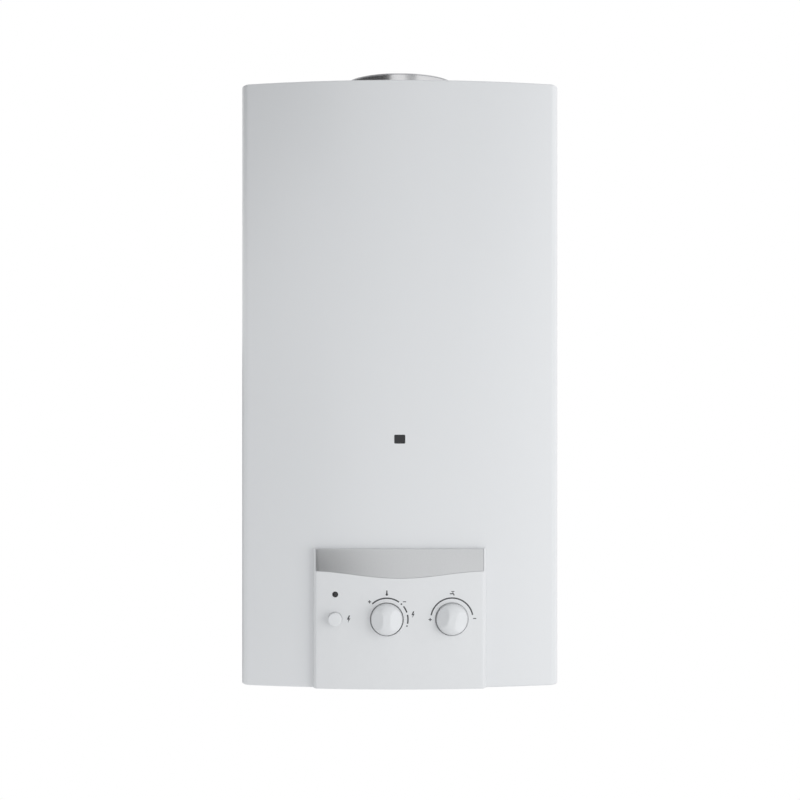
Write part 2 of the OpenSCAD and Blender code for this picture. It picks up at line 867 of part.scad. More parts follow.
// Flue
module flue_collar() color("silver") translate(at(0, chamber_y, hood_top + hood_t)) rotate_extrude() {
  r = collar_d / 2;
  height = hood_drop - hood_t + collar_rise;
  translate([r - collar_t, 0]) square([collar_t + collar_foot, hood_t]);
  translate([r - collar_t, 0]) square([collar_t, height - collar_round]);
  translate([r - collar_t / 2, height - collar_round]) circle(r = collar_round);
}

// The hood's front outline, with its walls drawn in by inset
module hood_shape(inset, foot) {
  w = chamber_w / 2 - inset;
  n = hood_neck / 2 - inset;
  polygon([[-w, hood_z - foot], [w, hood_z - foot], [w, hood_z + hood_straight], [n, hood_z + hood_slope],
           [n, hood_top - inset], [-n, hood_top - inset], [-n, hood_z + hood_slope],
           [-w, hood_z + hood_straight]]);
}

module draught_hood() color("gainsboro") difference() {
  front_plate(chamber_back, chamber_front) hood_shape(0, 0);
  front_plate(chamber_back + hood_t, chamber_front - hood_t) hood_shape(hood_t, cut);
  up_rod(0, chamber_y, hood_top - 2 * hood_t, hood_top + cut, flue_hole_d);
  block(-relief_w / 2, relief_w / 2, chamber_back - cut, chamber_front + cut,
        hood_z + relief_z, hood_z + relief_z + relief_h);
}

// A roof sheet over the casing's inside, with air slots beside the collar
module roof_panel() color("gainsboro") difference() {
  union() {
    tall(hood_top, hood_top + hood_t) casing_plan(sheet_t + roof_gap, plate_t);
    block(-hood_neck / 2, hood_neck / 2, plate_t, plate_t + hood_t, hood_top - roof_fold, hood_top);
  }
  up_rod(0, chamber_y, hood_top - cut, hood_top + 2 * hood_t, flue_hole_d);
  tall(hood_top - cut, hood_top + 2 * hood_t) {
    for (s = [-1, 1], i = [0, 1]) translate([s * (vent_x + i * vent_pitch), -chamber_y]) rotate(90)
      slot_shape(vent_long, vent_w);
    for (i = [-1.5, -0.5, 0.5, 1.5]) translate([i * vent_front_pitch, -vent_front_y])
      slot_shape(vent_short, vent_w);
  }
}

module bracket_screws() color("silver") for (x = [-bracket_screw_x, bracket_screw_x]) {
  for (z = [frame_z + burner_fold, chamber_z + chamber_fold, loop_3 + pipe_d / 2 + upper_fold,
            hood_bracket_z])
    front_rod(x, plate_t + frame_t, plate_t + frame_t + screw_head_h, z + screw_rise, screw_head_d);
  front_rod(x, plate_t + hood_t, plate_t + hood_t + screw_head_h, hood_top - screw_rise, screw_head_d);
}

module hood_baffle() color("gainsboro") front_plate(chamber_back + hood_t, chamber_front - hood_t)
  polygon([[-baffle_w / 2, baffle_z], [0, baffle_z + baffle_rise], [baffle_w / 2, baffle_z],
           [baffle_w / 2, baffle_z - hood_t], [0, baffle_z + baffle_rise - hood_t],
           [-baffle_w / 2, baffle_z - hood_t]]);

module hood_bracket() color("gainsboro")
  wall_bracket(-riser_x, riser_x, chamber_back, hood_bracket_z, bracket_fold);

// A snap thermostat in front of a sheet at depth d0, with two blade tabs
module thermostat(x, d0, z, d, h) {
  front_rod(x, d0, d0 + h, z, d);
  for (s = [-1, 1])
    block(x + (s * tab_pitch - tab_w) / 2, x + (s * tab_pitch + tab_w) / 2, d0 + h, d0 + h + tab_len,
          z - tab_t / 2, z + tab_t / 2);
}

module flue_sensor() color("dimgray")
  thermostat(riser_x, chamber_front, hood_z + relief_z + relief_h + sensor_rise, sensor_d, sensor_h);

// Heat exchanger
module combustion_chamber() color("peru") difference() {
  tall(chamber_z, hood_z) translate([0, -chamber_y]) round_rect(chamber_w, chamber_d, chamber_r);
  tall(chamber_z - cut, hood_z + cut) translate([0, -chamber_y])
    round_rect(chamber_w - 2 * chamber_t, chamber_d - 2 * chamber_t, chamber_r - chamber_t);
  for (i = [0 : 3])
    side_rod(-chamber_w, chamber_w, tube_first + i * tube_pitch, tube_z, tube_d + 2 * bore_gap);
}

module chamber_brackets() color("gainsboro") {
  wall_bracket(-riser_x, riser_x, chamber_back, chamber_z + chamber_fold, bracket_fold);
  wall_bracket(-riser_x, riser_x, chamber_back, loop_3 + pipe_d / 2 + upper_fold, bracket_fold);
}

module fin_block() color("peru") {
  span = chamber_w - 2 * chamber_t - 2 * fin_margin;
  for (i = [0 : fin_count - 1]) {
    x = -span / 2 + i * (span - fin_t) / (fin_count - 1);
    block(x, x + fin_t, chamber_back + chamber_t + touch_gap, chamber_front - chamber_t - touch_gap,
          hood_z - fin_h, hood_z);
  }
  for (i = [0 : 3])
    side_rod(-chamber_w / 2 - tube_out, chamber_w / 2 + tube_out, tube_first + i * tube_pitch,
             tube_z, tube_d);
}

// A half ring that joins two tubes beyond the chamber's wall
module return_bend(s, y) {
  translate(at(s * (chamber_w / 2 + tube_out), y, tube_z)) rotate(s * 90 - 180)
    rotate_extrude(angle = 180) translate([tube_pitch / 2, 0]) circle(d = tube_d);
}

module return_bends() color("peru") {
  return_bend(1, tube_first + tube_pitch / 2);
  return_bend(1, tube_last - tube_pitch / 2);
  return_bend(-1, chamber_y);
}

module heating_coil() color("peru") pipe([
  at(coil_x, coil_start_y, coil_start_z), at(coil_x, coil_start_y, loop_1), at(coil_x, coil_front, loop_1),
  at(-coil_x, coil_front, loop_1), at(-coil_x, coil_back, loop_1), at(riser_x, coil_back, loop_1),
  at(riser_x, coil_back, loop_2), at(coil_x, coil_back, loop_2), at(coil_x, coil_front, loop_2),
  at(-coil_x, coil_front, loop_2), at(-coil_x, coil_back, loop_2), at(0, coil_back, loop_2),
  at(0, coil_back, loop_3), at(-side_x, coil_back, loop_3), at(-side_x, coil_back, tube_z),
  at(-side_x, tube_first, tube_z), at(-chamber_w / 2 - tube_out, tube_first, tube_z)], pipe_d, bend_r);

module overheat_limiter() color("dimgray")
  thermostat(-riser_x, chamber_front, loop_3 + limiter_rise, limiter_d, limiter_h);

// Burner
module burner_frame() color("gainsboro") difference() {
  block(-frame_w / 2, frame_w / 2, frame_back, frame_front, frame_z, frame_z + frame_h);
  block(-frame_w / 2 + frame_t, frame_w / 2 - frame_t, frame_back + frame_t, frame_front - frame_t,
        frame_z + frame_t, frame_z + frame_h + cut);
  block(-frame_w / 2 + frame_lip, frame_w / 2 - frame_lip, frame_back + frame_lip, frame_front - frame_lip,
        frame_z - cut, frame_z + frame_h);
  for (i = [0 : bar_count - 1])
    front_rod(bar_x(i), frame_front - frame_lip, frame_front + cut, injector_z, inlet_d + 2 * inlet_clear);
}

// One bar's side view: a comb of flame ports along its top
module bar_shape() {
  a = frame_back + frame_t + touch_gap;
  b = frame_front - frame_t - touch_gap;
  step = (b - a) / port_count;
  difference() {
    translate([a, frame_z + frame_t]) square([b - a, bar_h]);
    for (i = [0 : port_count - 1])
      translate([a + (i + 0.5) * step - port_w / 2, bar_top - port_deep]) square([port_w, port_deep + cut]);
  }
}

module burner_bars() color("lightsteelblue") for (i = [0 : bar_count - 1]) difference() {
  translate([bar_x(i) - bar_t / 2, 0, casing_bottom]) rotate([90, 0, 90]) linear_extrude(bar_t)
    mirror([1, 0]) bar_shape();
  front_rod(bar_x(i), frame_front - inlet_len, frame_front, injector_z, inlet_d);
}

module burner_bracket() color("gainsboro")
  wall_bracket(-riser_x, riser_x, frame_back, frame_z + burner_fold, bracket_fold);

module gas_manifold() color("silver") {
  side_rod(-manifold_len / 2, manifold_len / 2, manifold_y, injector_z, manifold_d);
  up_rod(gas_x, manifold_y, manifold_boss_z, injector_z, manifold_boss_d);
  for (s = [-1, 1])
    block((s * (manifold_len - cheek_t) - cheek_t) / 2, (s * (manifold_len - cheek_t) + cheek_t) / 2,
          frame_front, manifold_y + manifold_d / 2,
          injector_z - manifold_d / 2 - cheek_edge, injector_z + manifold_d / 2 + cheek_edge);
}

module injectors() color("gold") for (i = [0 : bar_count - 1]) difference() {
  front_rod(bar_x(i), frame_front + cut, manifold_y, injector_z, injector_d);
  side_rod(-manifold_len, manifold_len, manifold_y, injector_z, manifold_d + 2 * bore_gap);
}

module pilot_bracket() color("gainsboro")
  block(-pilot_pitch - pilot_margin, pilot_pitch + pilot_margin, frame_front, frame_front + frame_t,
        frame_z + frame_h - bracket_lap, pilot_neck_z);

module pilot_burner() color("gold") {
  up_rod(0, pilot_y, pilot_z, pilot_neck_z, pilot_d);
  up_rod(0, pilot_y, pilot_neck_z, pilot_top, pilot_head_d);
}

module pilot_pipe() color("peru") pipe([
  at(0, pilot_y, pilot_z), at(0, pilot_y, pilot_cross_z),
  at(0, pilot_boss_y, pilot_cross_z), at(0, pilot_boss_y, pilot_boss_z)], pilot_pipe_d, thin_bend);

module ignition_electrode() color("ivory") {
  up_rod(pilot_pitch, pilot_y, electrode_z, ceramic_top, pilot_d);
  up_rod(pilot_pitch, pilot_y, ceramic_top, pilot_top, electrode_rod_d);
}

module ignition_lead() color("black") pipe([
  at(pilot_pitch, pilot_y, electrode_z), at(pilot_pitch, pilot_y, lead_z),
  at(pilot_pitch, lead_y, lead_z), at(button_x, lead_y, lead_z), at(button_x, lead_y, lead_cross_z),
  at(button_x, bracket_y - igniter_len - lead_back, lead_cross_z),
  at(button_x, bracket_y - igniter_len - lead_back, control_z),
  at(button_x, bracket_y - igniter_len, control_z)], lead_d, thin_bend);

module thermocouple() color("peru") {
  up_rod(-pilot_pitch, pilot_y, pilot_z, pilot_top, pilot_d);
  pipe([at(-pilot_pitch, pilot_y, pilot_z), at(-pilot_pitch, pilot_y, capillary_z),
        at(capillary_x, pilot_y, capillary_z), at(capillary_x, pilot_y, capillary_low_z),
        at(capillary_x, valve_y, capillary_low_z), at(magnet_x, valve_y, capillary_low_z),
        at(magnet_x, valve_y, magnet_z - magnet_len + capillary_nut_len)], capillary_d, thin_bend / 2);
}

// Valves
module gas_valve() color("silver") difference() {
  union() {
    front_rod(gas_x, valve_y - barrel_rear, shoulder_y, control_z, barrel_d);
    front_rod(gas_x, shoulder_y, nose_y, control_z, gas_nose_d);
    side_rod(gas_x, cross_end, valve_y, control_z, cross_d);
    block(cross_end, cross_end + pad_t, valve_y - pad_w / 2, valve_y + pad_w / 2,
          control_z - pad_w / 2, control_z + pad_w / 2);
    front_rod(0, gas_boss_y, valve_y, control_z, boss_d);
    up_rod(gas_x, valve_y, control_z, gas_out_z, boss_d);
    up_rod(0, pilot_boss_y, control_z, pilot_boss_z, pilot_boss_d);
    up_rod(magnet_x, valve_y, magnet_z, control_z, magnet_d);
  }
  front_rod(gas_x, nose_y - spindle_tail - push_travel - cut, nose_y + cut, control_z,
            spindle_d + 2 * bore_gap);
  front_rod(gas_x, nose_y - spindle_tail - pin_len - push_travel - cut, nose_y, control_z,
            pin_d + 2 * bore_gap);
  side_rod(0, cross_end + pad_t + cut, valve_y, control_z, rod_d + 2 * slide_gap);
}

module magnet_housing() color("gold") {
  up_rod(magnet_x, valve_y, magnet_z - magnet_len + 2 * capillary_nut_len, magnet_z,
         magnet_d + 2 * magnet_wall);
  translate(at(magnet_x, valve_y, magnet_z - magnet_len + capillary_nut_len))
    cylinder(h = capillary_nut_len, d = magnet_d / 2, $fn = 6);
}

module water_valve() color("gold") difference() {
  union() {
    side_rod(body_x, body_x + body_t, valve_y, control_z, housing_d);
    side_rod(body_x, body_x + body_barrel_len, valve_y, control_z, body_barrel_d);
    front_rod(water_x, valve_y, shoulder_y, control_z, body_shoulder_d);
    front_rod(water_x, shoulder_y, nose_y, control_z, water_nose_d);
    front_rod(port_pitch, water_boss_y, valve_y, water_port_z, water_boss_d);
    side_rod(port_pitch, water_out_x, valve_y, water_port_z, water_boss_d);
  }
  front_rod(water_x, nose_y - spindle_tail - cut, nose_y + cut, control_z, spindle_d + 2 * bore_gap);
  side_rod(0, body_x, valve_y, control_z, housing_d + 2 * touch_gap);
}

module diaphragm() color("black")
  side_rod(cover_x + cover_t, body_x, valve_y, control_z, housing_d - 2 * diaphragm_edge);

module water_valve_cover() color("gold") difference() {
  union() {
    side_rod(cover_x, cover_x + cover_t, valve_y, control_z, housing_d);
    side_rod(cover_x - hub_len, cover_x, valve_y, control_z, hub_d);
  }
  side_rod(cover_x + cover_t - well_deep, cover_x + cover_t + cut, valve_y, control_z, well_d);
  side_rod(cover_x - hub_len - cut, cover_x + cover_t, valve_y, control_z, rod_d + 2 * slide_gap);
}

module push_rod() color("silver") {
  plate_x = cover_x + cover_t - slide_gap;
  side_rod(plate_x - disc_t, plate_x, valve_y, control_z, disc_d);
  side_rod(rod_d, plate_x - disc_t, valve_y, control_z, rod_d);
}

module valve_screws() color("silver") for (i = [0 : 5])
  translate(at(cover_x - valve_screw_len, valve_y, control_z)) rotate([i * 60 + 30, 0, 0])
    translate([0, 0, (housing_d - valve_screw_d) / 2 - valve_screw_edge]) rotate([0, 90, 0])
      cylinder(h = valve_screw_len, d = valve_screw_d);

// Pipes and connections
module cold_inlet_pipe() color("peru") pipe([
  at(port_pitch, port_y, fitting_top), at(port_pitch, port_y, water_port_z),
  at(port_pitch, water_boss_y, water_port_z)], pipe_d, bend_r);

module cold_feed_pipe() color("peru") pipe([
  at(water_out_x, valve_y, water_port_z), at(coil_x, valve_y, water_port_z),
  at(coil_x, valve_y, cold_cross_z), at(coil_x, coil_start_y, cold_cross_z),
  at(coil_x, coil_start_y, coil_start_z)], pipe_d, bend_r);

module hot_water_pipe() color("peru") pipe([
  at(-chamber_w / 2 - tube_out, tube_last, tube_z), at(-side_x, tube_last, tube_z),
  at(-side_x, tube_last, hot_drop_z), at(-side_x, port_y, hot_drop_z), at(-port_pitch, port_y, hot_drop_z),
  at(-port_pitch, port_y, fitting_top)], pipe_d, bend_r);

module gas_inlet_pipe() color("peru") pipe([
  at(0, port_y, fitting_top), at(0, port_y, control_z), at(0, gas_boss_y, control_z)], pipe_d, bend_r);

module gas_feed_pipe() color("peru") pipe([
  at(gas_x, valve_y, gas_out_z), at(gas_x, valve_y, gas_cross_z), at(gas_x, manifold_y, gas_cross_z),
  at(gas_x, manifold_y, manifold_boss_z)], feed_d, bend_r);

module union_nuts() color("gold") {
  bore = pipe_d + 2 * touch_gap;
  for (x = [-port_pitch, 0, port_pitch])
    translate(at(x, port_y, fitting_top - nut_len / 2)) hex_nut(nut_w, nut_len, neck_d + 2 * touch_gap);
  translate(at(port_pitch, water_boss_y - nut_len, water_port_z)) rotate([90, 0, 0])
    hex_nut(nut_w, nut_len, bore);
  translate(at(0, gas_boss_y - nut_len, control_z)) rotate([90, 0, 0]) hex_nut(nut_w, nut_len, bore);
  translate(at(water_out_x, valve_y, water_port_z)) rotate([0, 90, 0]) hex_nut(nut_w, nut_len, bore);
  translate(at(gas_x, valve_y, gas_out_z)) hex_nut(nut_w, nut_len, feed_d + 2 * touch_gap);
  translate(at(coil_x, coil_start_y, coil_start_z - nut_len / 2)) hex_nut(nut_w, nut_len, bore);
}

// A threaded fitting: thread, hexagon and neck
module fitting(x) {
  translate(at(x, port_y, -thread_drop)) difference() {
    union() {
      cylinder(h = thread_len, d = thread_d);
      translate([0, 0, thread_len]) cylinder(h = fitting_hex, d = hex_w / cos(30), $fn = 6);
      translate([0, 0, thread_len + fitting_hex]) cylinder(h = neck_len, d = neck_d);
    }
    translate([0, 0, -cut]) cylinder(h = thread_len + fitting_hex + cut, d = bore_d);
  }
}

module cold_fitting() color("gold") fitting(port_pitch);
module gas_fitting() color("gold") fitting(0);
module hot_fitting() color("gold") fitting(-port_pitch);

module connection_rail() color("gainsboro") difference() {
  union() {
    block(-rail_w / 2, rail_w / 2, plate_t, rail_reach, rail_z, rail_z + rail_t);
    block(-rail_w / 2, rail_w / 2, plate_t, plate_t + rail_t, rail_z, rail_z + rail_back_h);
  }
  for (x = [-port_pitch, 0, port_pitch])
    up_rod(x, port_y, rail_z - cut, rail_z + rail_t + cut, neck_d + 2 * touch_gap);
}

module rail_screws() color("silver") for (s = [-1, 1], x = [port_pitch / 2, rail_w / 2 - rail_screw_in])
  front_rod(s * x, plate_t + rail_t, plate_t + rail_t + screw_head_h, rail_screw_z, screw_head_d);

back_plate();
front_cover();
cover_screws();
control_fascia();
trim_band();
indicator_lens();
gas_knob();
gas_spindle();
gas_thrust_pin();
temperature_knob();
water_spindle();
igniter_button();
piezo_igniter();
igniter_nut();
control_bracket();
sight_glass();
sight_glass_frame();
flue_collar();
roof_panel();
draught_hood();
hood_baffle();
hood_bracket();
flue_sensor();
combustion_chamber();
chamber_brackets();
fin_block();
return_bends();
heating_coil();
overheat_limiter();
burner_frame();
burner_bars();
burner_bracket();
gas_manifold();
injectors();
pilot_bracket();
pilot_burner();
pilot_pipe();
ignition_electrode();
ignition_lead();
thermocouple();
gas_valve();
magnet_housing();
water_valve();
diaphragm();
water_valve_cover();
push_rod();
valve_screws();
cold_inlet_pipe();
cold_feed_pipe();
hot_water_pipe();
gas_inlet_pipe();
gas_feed_pipe();
union_nuts();
cold_fitting();
gas_fitting();
hot_fitting();
connection_rail();
rail_screws();
bracket_screws();
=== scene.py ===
# %% [markdown]
# A wall-hung gas water heater, dressed for its portrait. The engineering model comes in as a fixed
# frame: every piece already has its true size and place, so nothing here is fitted by eye. This lesson
# adds what a drawing office leaves out: rolled sheet edges, soft plastic corners, scooped grips,
# printed marks, threads, and finishes that answer the light.

# %% Load the frame
import json
import math

import bmesh
import bpy
from mathutils import Matrix, Vector


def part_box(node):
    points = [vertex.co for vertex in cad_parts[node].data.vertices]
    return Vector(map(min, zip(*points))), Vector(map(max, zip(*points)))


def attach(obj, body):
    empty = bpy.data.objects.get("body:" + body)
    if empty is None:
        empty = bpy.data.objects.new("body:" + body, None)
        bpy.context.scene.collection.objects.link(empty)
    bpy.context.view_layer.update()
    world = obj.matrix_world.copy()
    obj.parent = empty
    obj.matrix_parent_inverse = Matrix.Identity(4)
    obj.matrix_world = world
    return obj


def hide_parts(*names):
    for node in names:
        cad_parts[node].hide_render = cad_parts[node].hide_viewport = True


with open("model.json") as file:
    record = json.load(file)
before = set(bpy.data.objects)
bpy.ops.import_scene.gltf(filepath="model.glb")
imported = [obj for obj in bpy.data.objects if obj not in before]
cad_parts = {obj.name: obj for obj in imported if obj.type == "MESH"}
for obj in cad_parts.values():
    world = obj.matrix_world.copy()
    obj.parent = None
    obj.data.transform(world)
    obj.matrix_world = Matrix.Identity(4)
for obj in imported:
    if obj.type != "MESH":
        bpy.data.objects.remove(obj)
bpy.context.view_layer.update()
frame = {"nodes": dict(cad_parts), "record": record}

print("nodes in the frame:", len(frame["nodes"]))

# %% [markdown]
# The camera comes first, because it decides what has to be good. A catalogue shot of a flat product
# uses a long lens held level at chest height, which keeps uprights upright. Lifting the picture with
# the lens shift, and not by tilting, is what an architect's camera does for the same reason.

# %% Camera
MM = 0.001
SIGHT_HEIGHT = -350 * MM
SIGHT_DISTANCE = 1920 * MM
LENS_LENGTH = 69.55
SENSOR_WIDTH = 36
LENS_SHIFT = (0.0003, 0.0478)

lens = bpy.data.cameras.new("portrait_lens")
lens.lens = LENS_LENGTH
lens.sensor_width = SENSOR_WIDTH
lens.shift_x, lens.shift_y = LENS_SHIFT
camera = bpy.data.objects.new("portrait_camera", lens)
camera.location = (0, -SIGHT_DISTANCE, SIGHT_HEIGHT)
camera.rotation_euler = (math.radians(90), 0, 0)
bpy.context.scene.collection.objects.link(camera)
bpy.context.scene.camera = camera
print("camera", [round(c, 3) for c in camera.location])

# %% [markdown]
# Most pieces start as a line that grows: a straight run, then an arc about a centre, the way a sheet
# worker sets out a bend. Small helpers draw these with bmesh operators, fill the line, raise it into a
# solid, turn it on a lathe and round its edges. Knowing them, the rest reads like a cutting list.

# %% Drawing helpers
HAIR = 0.002 * MM
NEAR = 5 * HAIR


def weld(bm):
    """Merges points that lie on each other."""
    bmesh.ops.remove_doubles(bm, verts=bm.verts[:], dist=HAIR)


def run(bm, vert, point):
    """Draws a straight edge from vert to point and returns its far end."""
    far = bmesh.ops.extrude_vert_indiv(bm, verts=[vert])["verts"][0]
    far.co = point
    return far


def sweep(bm, vert, centre, degrees, steps):
    """Draws an arc in the plan from vert about centre and returns its far end."""
    made = bmesh.ops.spin(bm, geom=[vert], cent=centre, axis=(0, 0, 1),
                          angle=math.radians(degrees), steps=steps)
    return next(g for g in made["geom_last"] if isinstance(g, bmesh.types.BMVert))


def fill(bm):
    """Fills the closed line that was drawn last."""
    loose = [e for e in bm.edges if e.is_wire]
    return bmesh.ops.contextual_create(bm, geom=loose)["faces"]


def outline(bm, points):
    """Draws a closed line through the points and fills it with one face."""
    first = bm.verts.new(points[0])
    vert = first
    for point in points[1:]:
        vert = run(bm, vert, point)
    bm.edges.new((vert, first))
    return fill(bm)


def lift(bm, faces, way):
    """Extrudes faces along way into a solid with both ends closed."""
    made = bmesh.ops.extrude_face_region(bm, geom=faces, use_keep_orig=True)["geom"]
    moved = [g for g in made if isinstance(g, bmesh.types.BMVert)]
    bmesh.ops.translate(bm, vec=way, verts=moved)
    bmesh.ops.recalc_face_normals(bm, faces=bm.faces[:])
    return moved


def lathe(bm, profile, steps):
    """Turns a profile of (radius, height) points once about the upright axis."""
    vert = bm.verts.new((profile[0][0], 0, profile[0][1]))
    start = vert
    for radius, height in profile[1:]:
        vert = run(bm, vert, (radius, 0, height))
    line = [start] + [e for e in bm.edges if e.is_wire]
    line += [v for v in bm.verts if v.is_wire and v is not start]
    bmesh.ops.spin(bm, geom=line, cent=(0, 0, 0), axis=(0, 0, 1), angle=math.tau, steps=steps,
                   use_merge=True)
    weld(bm)
    bmesh.ops.recalc_face_normals(bm, faces=bm.faces[:])


def soften(bm, edges, size, segments=5):
    """Rounds edges by a bevel of that size."""
    bmesh.ops.bevel(bm, geom=edges, offset=size, offset_type="OFFSET", affect="EDGES",
                    segments=segments, profile=0.5, material=-1, clamp_overlap=True)


def edges_where(bm, test):
    """The edges whose two ends both pass a test."""
    return [e for e in bm.edges if all(test(v.co) for v in e.verts)]


print("helpers: weld, run, sweep, fill, outline, lift, lathe, soften, edges_where")

# %% [markdown]
# A bmesh becomes a piece in one place, so that every piece is treated alike: doubles merged, faces
# turned outward, smooth shading with sharp edges where the form really turns. The piece then names the
# body it rides on, the finish it takes and the plain solids it stands for.

# %% Making a piece
SHARP = math.radians(32)


def as_object(bm, name):
    """Turns a bmesh into an object at the origin."""
    weld(bm)
    bmesh.ops.recalc_face_normals(bm, faces=bm.faces[:])
    mesh = bpy.data.meshes.new(name)
    bm.to_mesh(mesh)
    bm.free()
    obj = bpy.data.objects.new(name, mesh)
    bpy.context.scene.collection.objects.link(obj)
    return obj


def bake(obj):
    """Applies the object's modifiers to its mesh."""
    graph = bpy.context.evaluated_depsgraph_get()
    obj.data = bpy.data.meshes.new_from_object(obj.evaluated_get(graph))
    obj.modifiers.clear()


def carve(obj, tool, operation="DIFFERENCE"):
    """Cuts, joins or intersects obj with a tool object, which is used up."""
    step = obj.modifiers.new("carve", "BOOLEAN")
    step.operation = operation
    step.solver = "EXACT"
    step.object = tool
    bake(obj)
    print("  carved with", tool.name, "faces", len(obj.data.polygons))
    bpy.data.objects.remove(tool)


def install(obj, body, slot, *nodes):
    """Shades a finished piece and hands it to its body, its finish and the solids it replaces."""
    obj.data.polygons.foreach_set("use_smooth", [True] * len(obj.data.polygons))
    obj.data.set_sharp_from_angle(angle=SHARP)
    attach(obj, body)
    if nodes:
        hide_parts(*nodes)
    obj.data.materials.clear()
    obj.data.materials.append(finish[slot])
    print(obj.name, "faces", len(obj.data.polygons), "on", body)
    return obj


print("edges are sharp past", round(math.degrees(SHARP)), "degrees")

# %% [markdown]
# Three kinds of surface grain serve every finish. Even grain is the soft mottle of paint and moulded
# plastic, drawn lines are the marks that rolling or polishing leaves along a metal, and zinc spangle is
# the crystal pattern of dipped steel. Each is a node group, so that the materials share one recipe and
# differ only in scale, colour and gloss.

# %% Grain groups
RIPPLE_FINER = 9
LINE_STRETCH = (0.04, 0.04, 1)


def add(tree, kind, values=(), operation=None):
    """A new shader node with values on its sockets and its operation."""
    node = tree.nodes.new("ShaderNode" + kind)
    if operation:
        node.operation = operation
    for socket, value in dict(values).items():
        node.inputs[socket].default_value = value
    return node


def wire(tree, *rows):
    """Links nodes, each row being a node, its output, the next node and its input."""
    for node, source, target, socket in rows:
        tree.links.new(node.outputs[source], target.inputs[socket])


def grain_group(name):
    """An empty group with a vector and a scale going in, a mask and a height coming out."""
    group = bpy.data.node_groups.new(name, "ShaderNodeTree")
    for socket, way, kind in (("Vector", "INPUT", "Vector"), ("Scale", "INPUT", "Float"),
                              ("Mask", "OUTPUT", "Float"), ("Height", "OUTPUT", "Float")):
        group.interface.new_socket(socket, in_out=way, socket_type="NodeSocket" + kind)
    return group, group.nodes.new("NodeGroupInput"), group.nodes.new("NodeGroupOutput")


def even_grain():
    """Soft mottle for the colour and a finer ripple for the relief."""
    group, given, result = grain_group("even_grain")
    finer = add(group, "Math", {1: RIPPLE_FINER}, "MULTIPLY")
    mottle = add(group, "TexNoise", {"Detail": 3})
    ripple = add(group, "TexNoise", {"Detail": 2})
    wire(group, (given, "Scale", finer, 0), (finer, 0, ripple, "Scale"),
         (given, "Vector", mottle, "Vector"), (given, "Scale", mottle, "Scale"),
         (given, "Vector", ripple, "Vector"), (mottle, "Fac", result, "Mask"),
         (ripple, "Fac", result, "Height"))
    return group


def drawn_lines():
    """Fine lines that run round an upright piece or along a level one."""
    group, given, result = grain_group("drawn_lines")
    stretch = add(group, "VectorMath", {1: LINE_STRETCH}, "MULTIPLY")
    lines = add(group, "TexNoise", {"Detail": 4})
    wire(group, (given, "Vector", stretch, 0), (stretch, 0, lines, "Vector"),
         (given, "Scale", lines, "Scale"), (lines, "Fac", result, "Mask"),
         (lines, "Fac", result, "Height"))
    return group


def zinc_spangle():
    """Flat crystals with their own shade, and a faint rise from one to the next."""
    group, given, result = grain_group("zinc_spangle")
    cells = add(group, "TexVoronoi")
    shade = add(group, "RGBToBW")
    wire(group, (given, "Vector", cells, "Vector"), (given, "Scale", cells, "Scale"),
         (cells, "Color", shade, "Color"), (shade, "Val", result, "Mask"),
         (cells, "Distance", result, "Height"))
    return group


GRAINS = {"even": even_grain(), "lines": drawn_lines(), "spangle": zinc_spangle()}
print("grain groups:", sorted(GRAINS))

# %% [markdown]
# A finish is a light and a dark shade of one colour, mixed by its grain, with a gloss that wanders
# between two values and a relief you can only feel with a fingertip. Metalness is the same all over, so
# it sits on the shader's own socket.

# %% Finishes


def dress(name, light, dark, grain, scale, rough, bump, metal=0):
    """A material from two shades, a grain, a range of roughness, a relief in mm and a metalness."""
    made = bpy.data.materials.new(name)
    made.use_nodes = True
    tree = made.node_tree
    shader = tree.nodes["Principled BSDF"]
    shader.inputs["Metallic"].default_value = metal
    place = add(tree, "TexCoord")
    pattern = add(tree, "Group")
    pattern.node_tree = GRAINS[grain]
    pattern.inputs["Scale"].default_value = scale
    blend = add(tree, "Mix")
    blend.data_type = "RGBA"
    blend.inputs["A"].default_value = (*dark, 1)
    blend.inputs["B"].default_value = (*light, 1)
    gloss = add(tree, "MapRange", {"To Min": rough[0], "To Max": rough[1]})
    relief = add(tree, "Bump", {"Distance": bump * MM})
    wire(tree, (place, "Object", pattern, "Vector"), (pattern, "Mask", blend, "Factor"),
         (blend, "Result", shader, "Base Color"), (pattern, "Mask", gloss, "Value"),
         (gloss, "Result", shader, "Roughness"), (pattern, "Height", relief, "Height"),
         (relief, "Normal", shader, "Normal"))
    return made


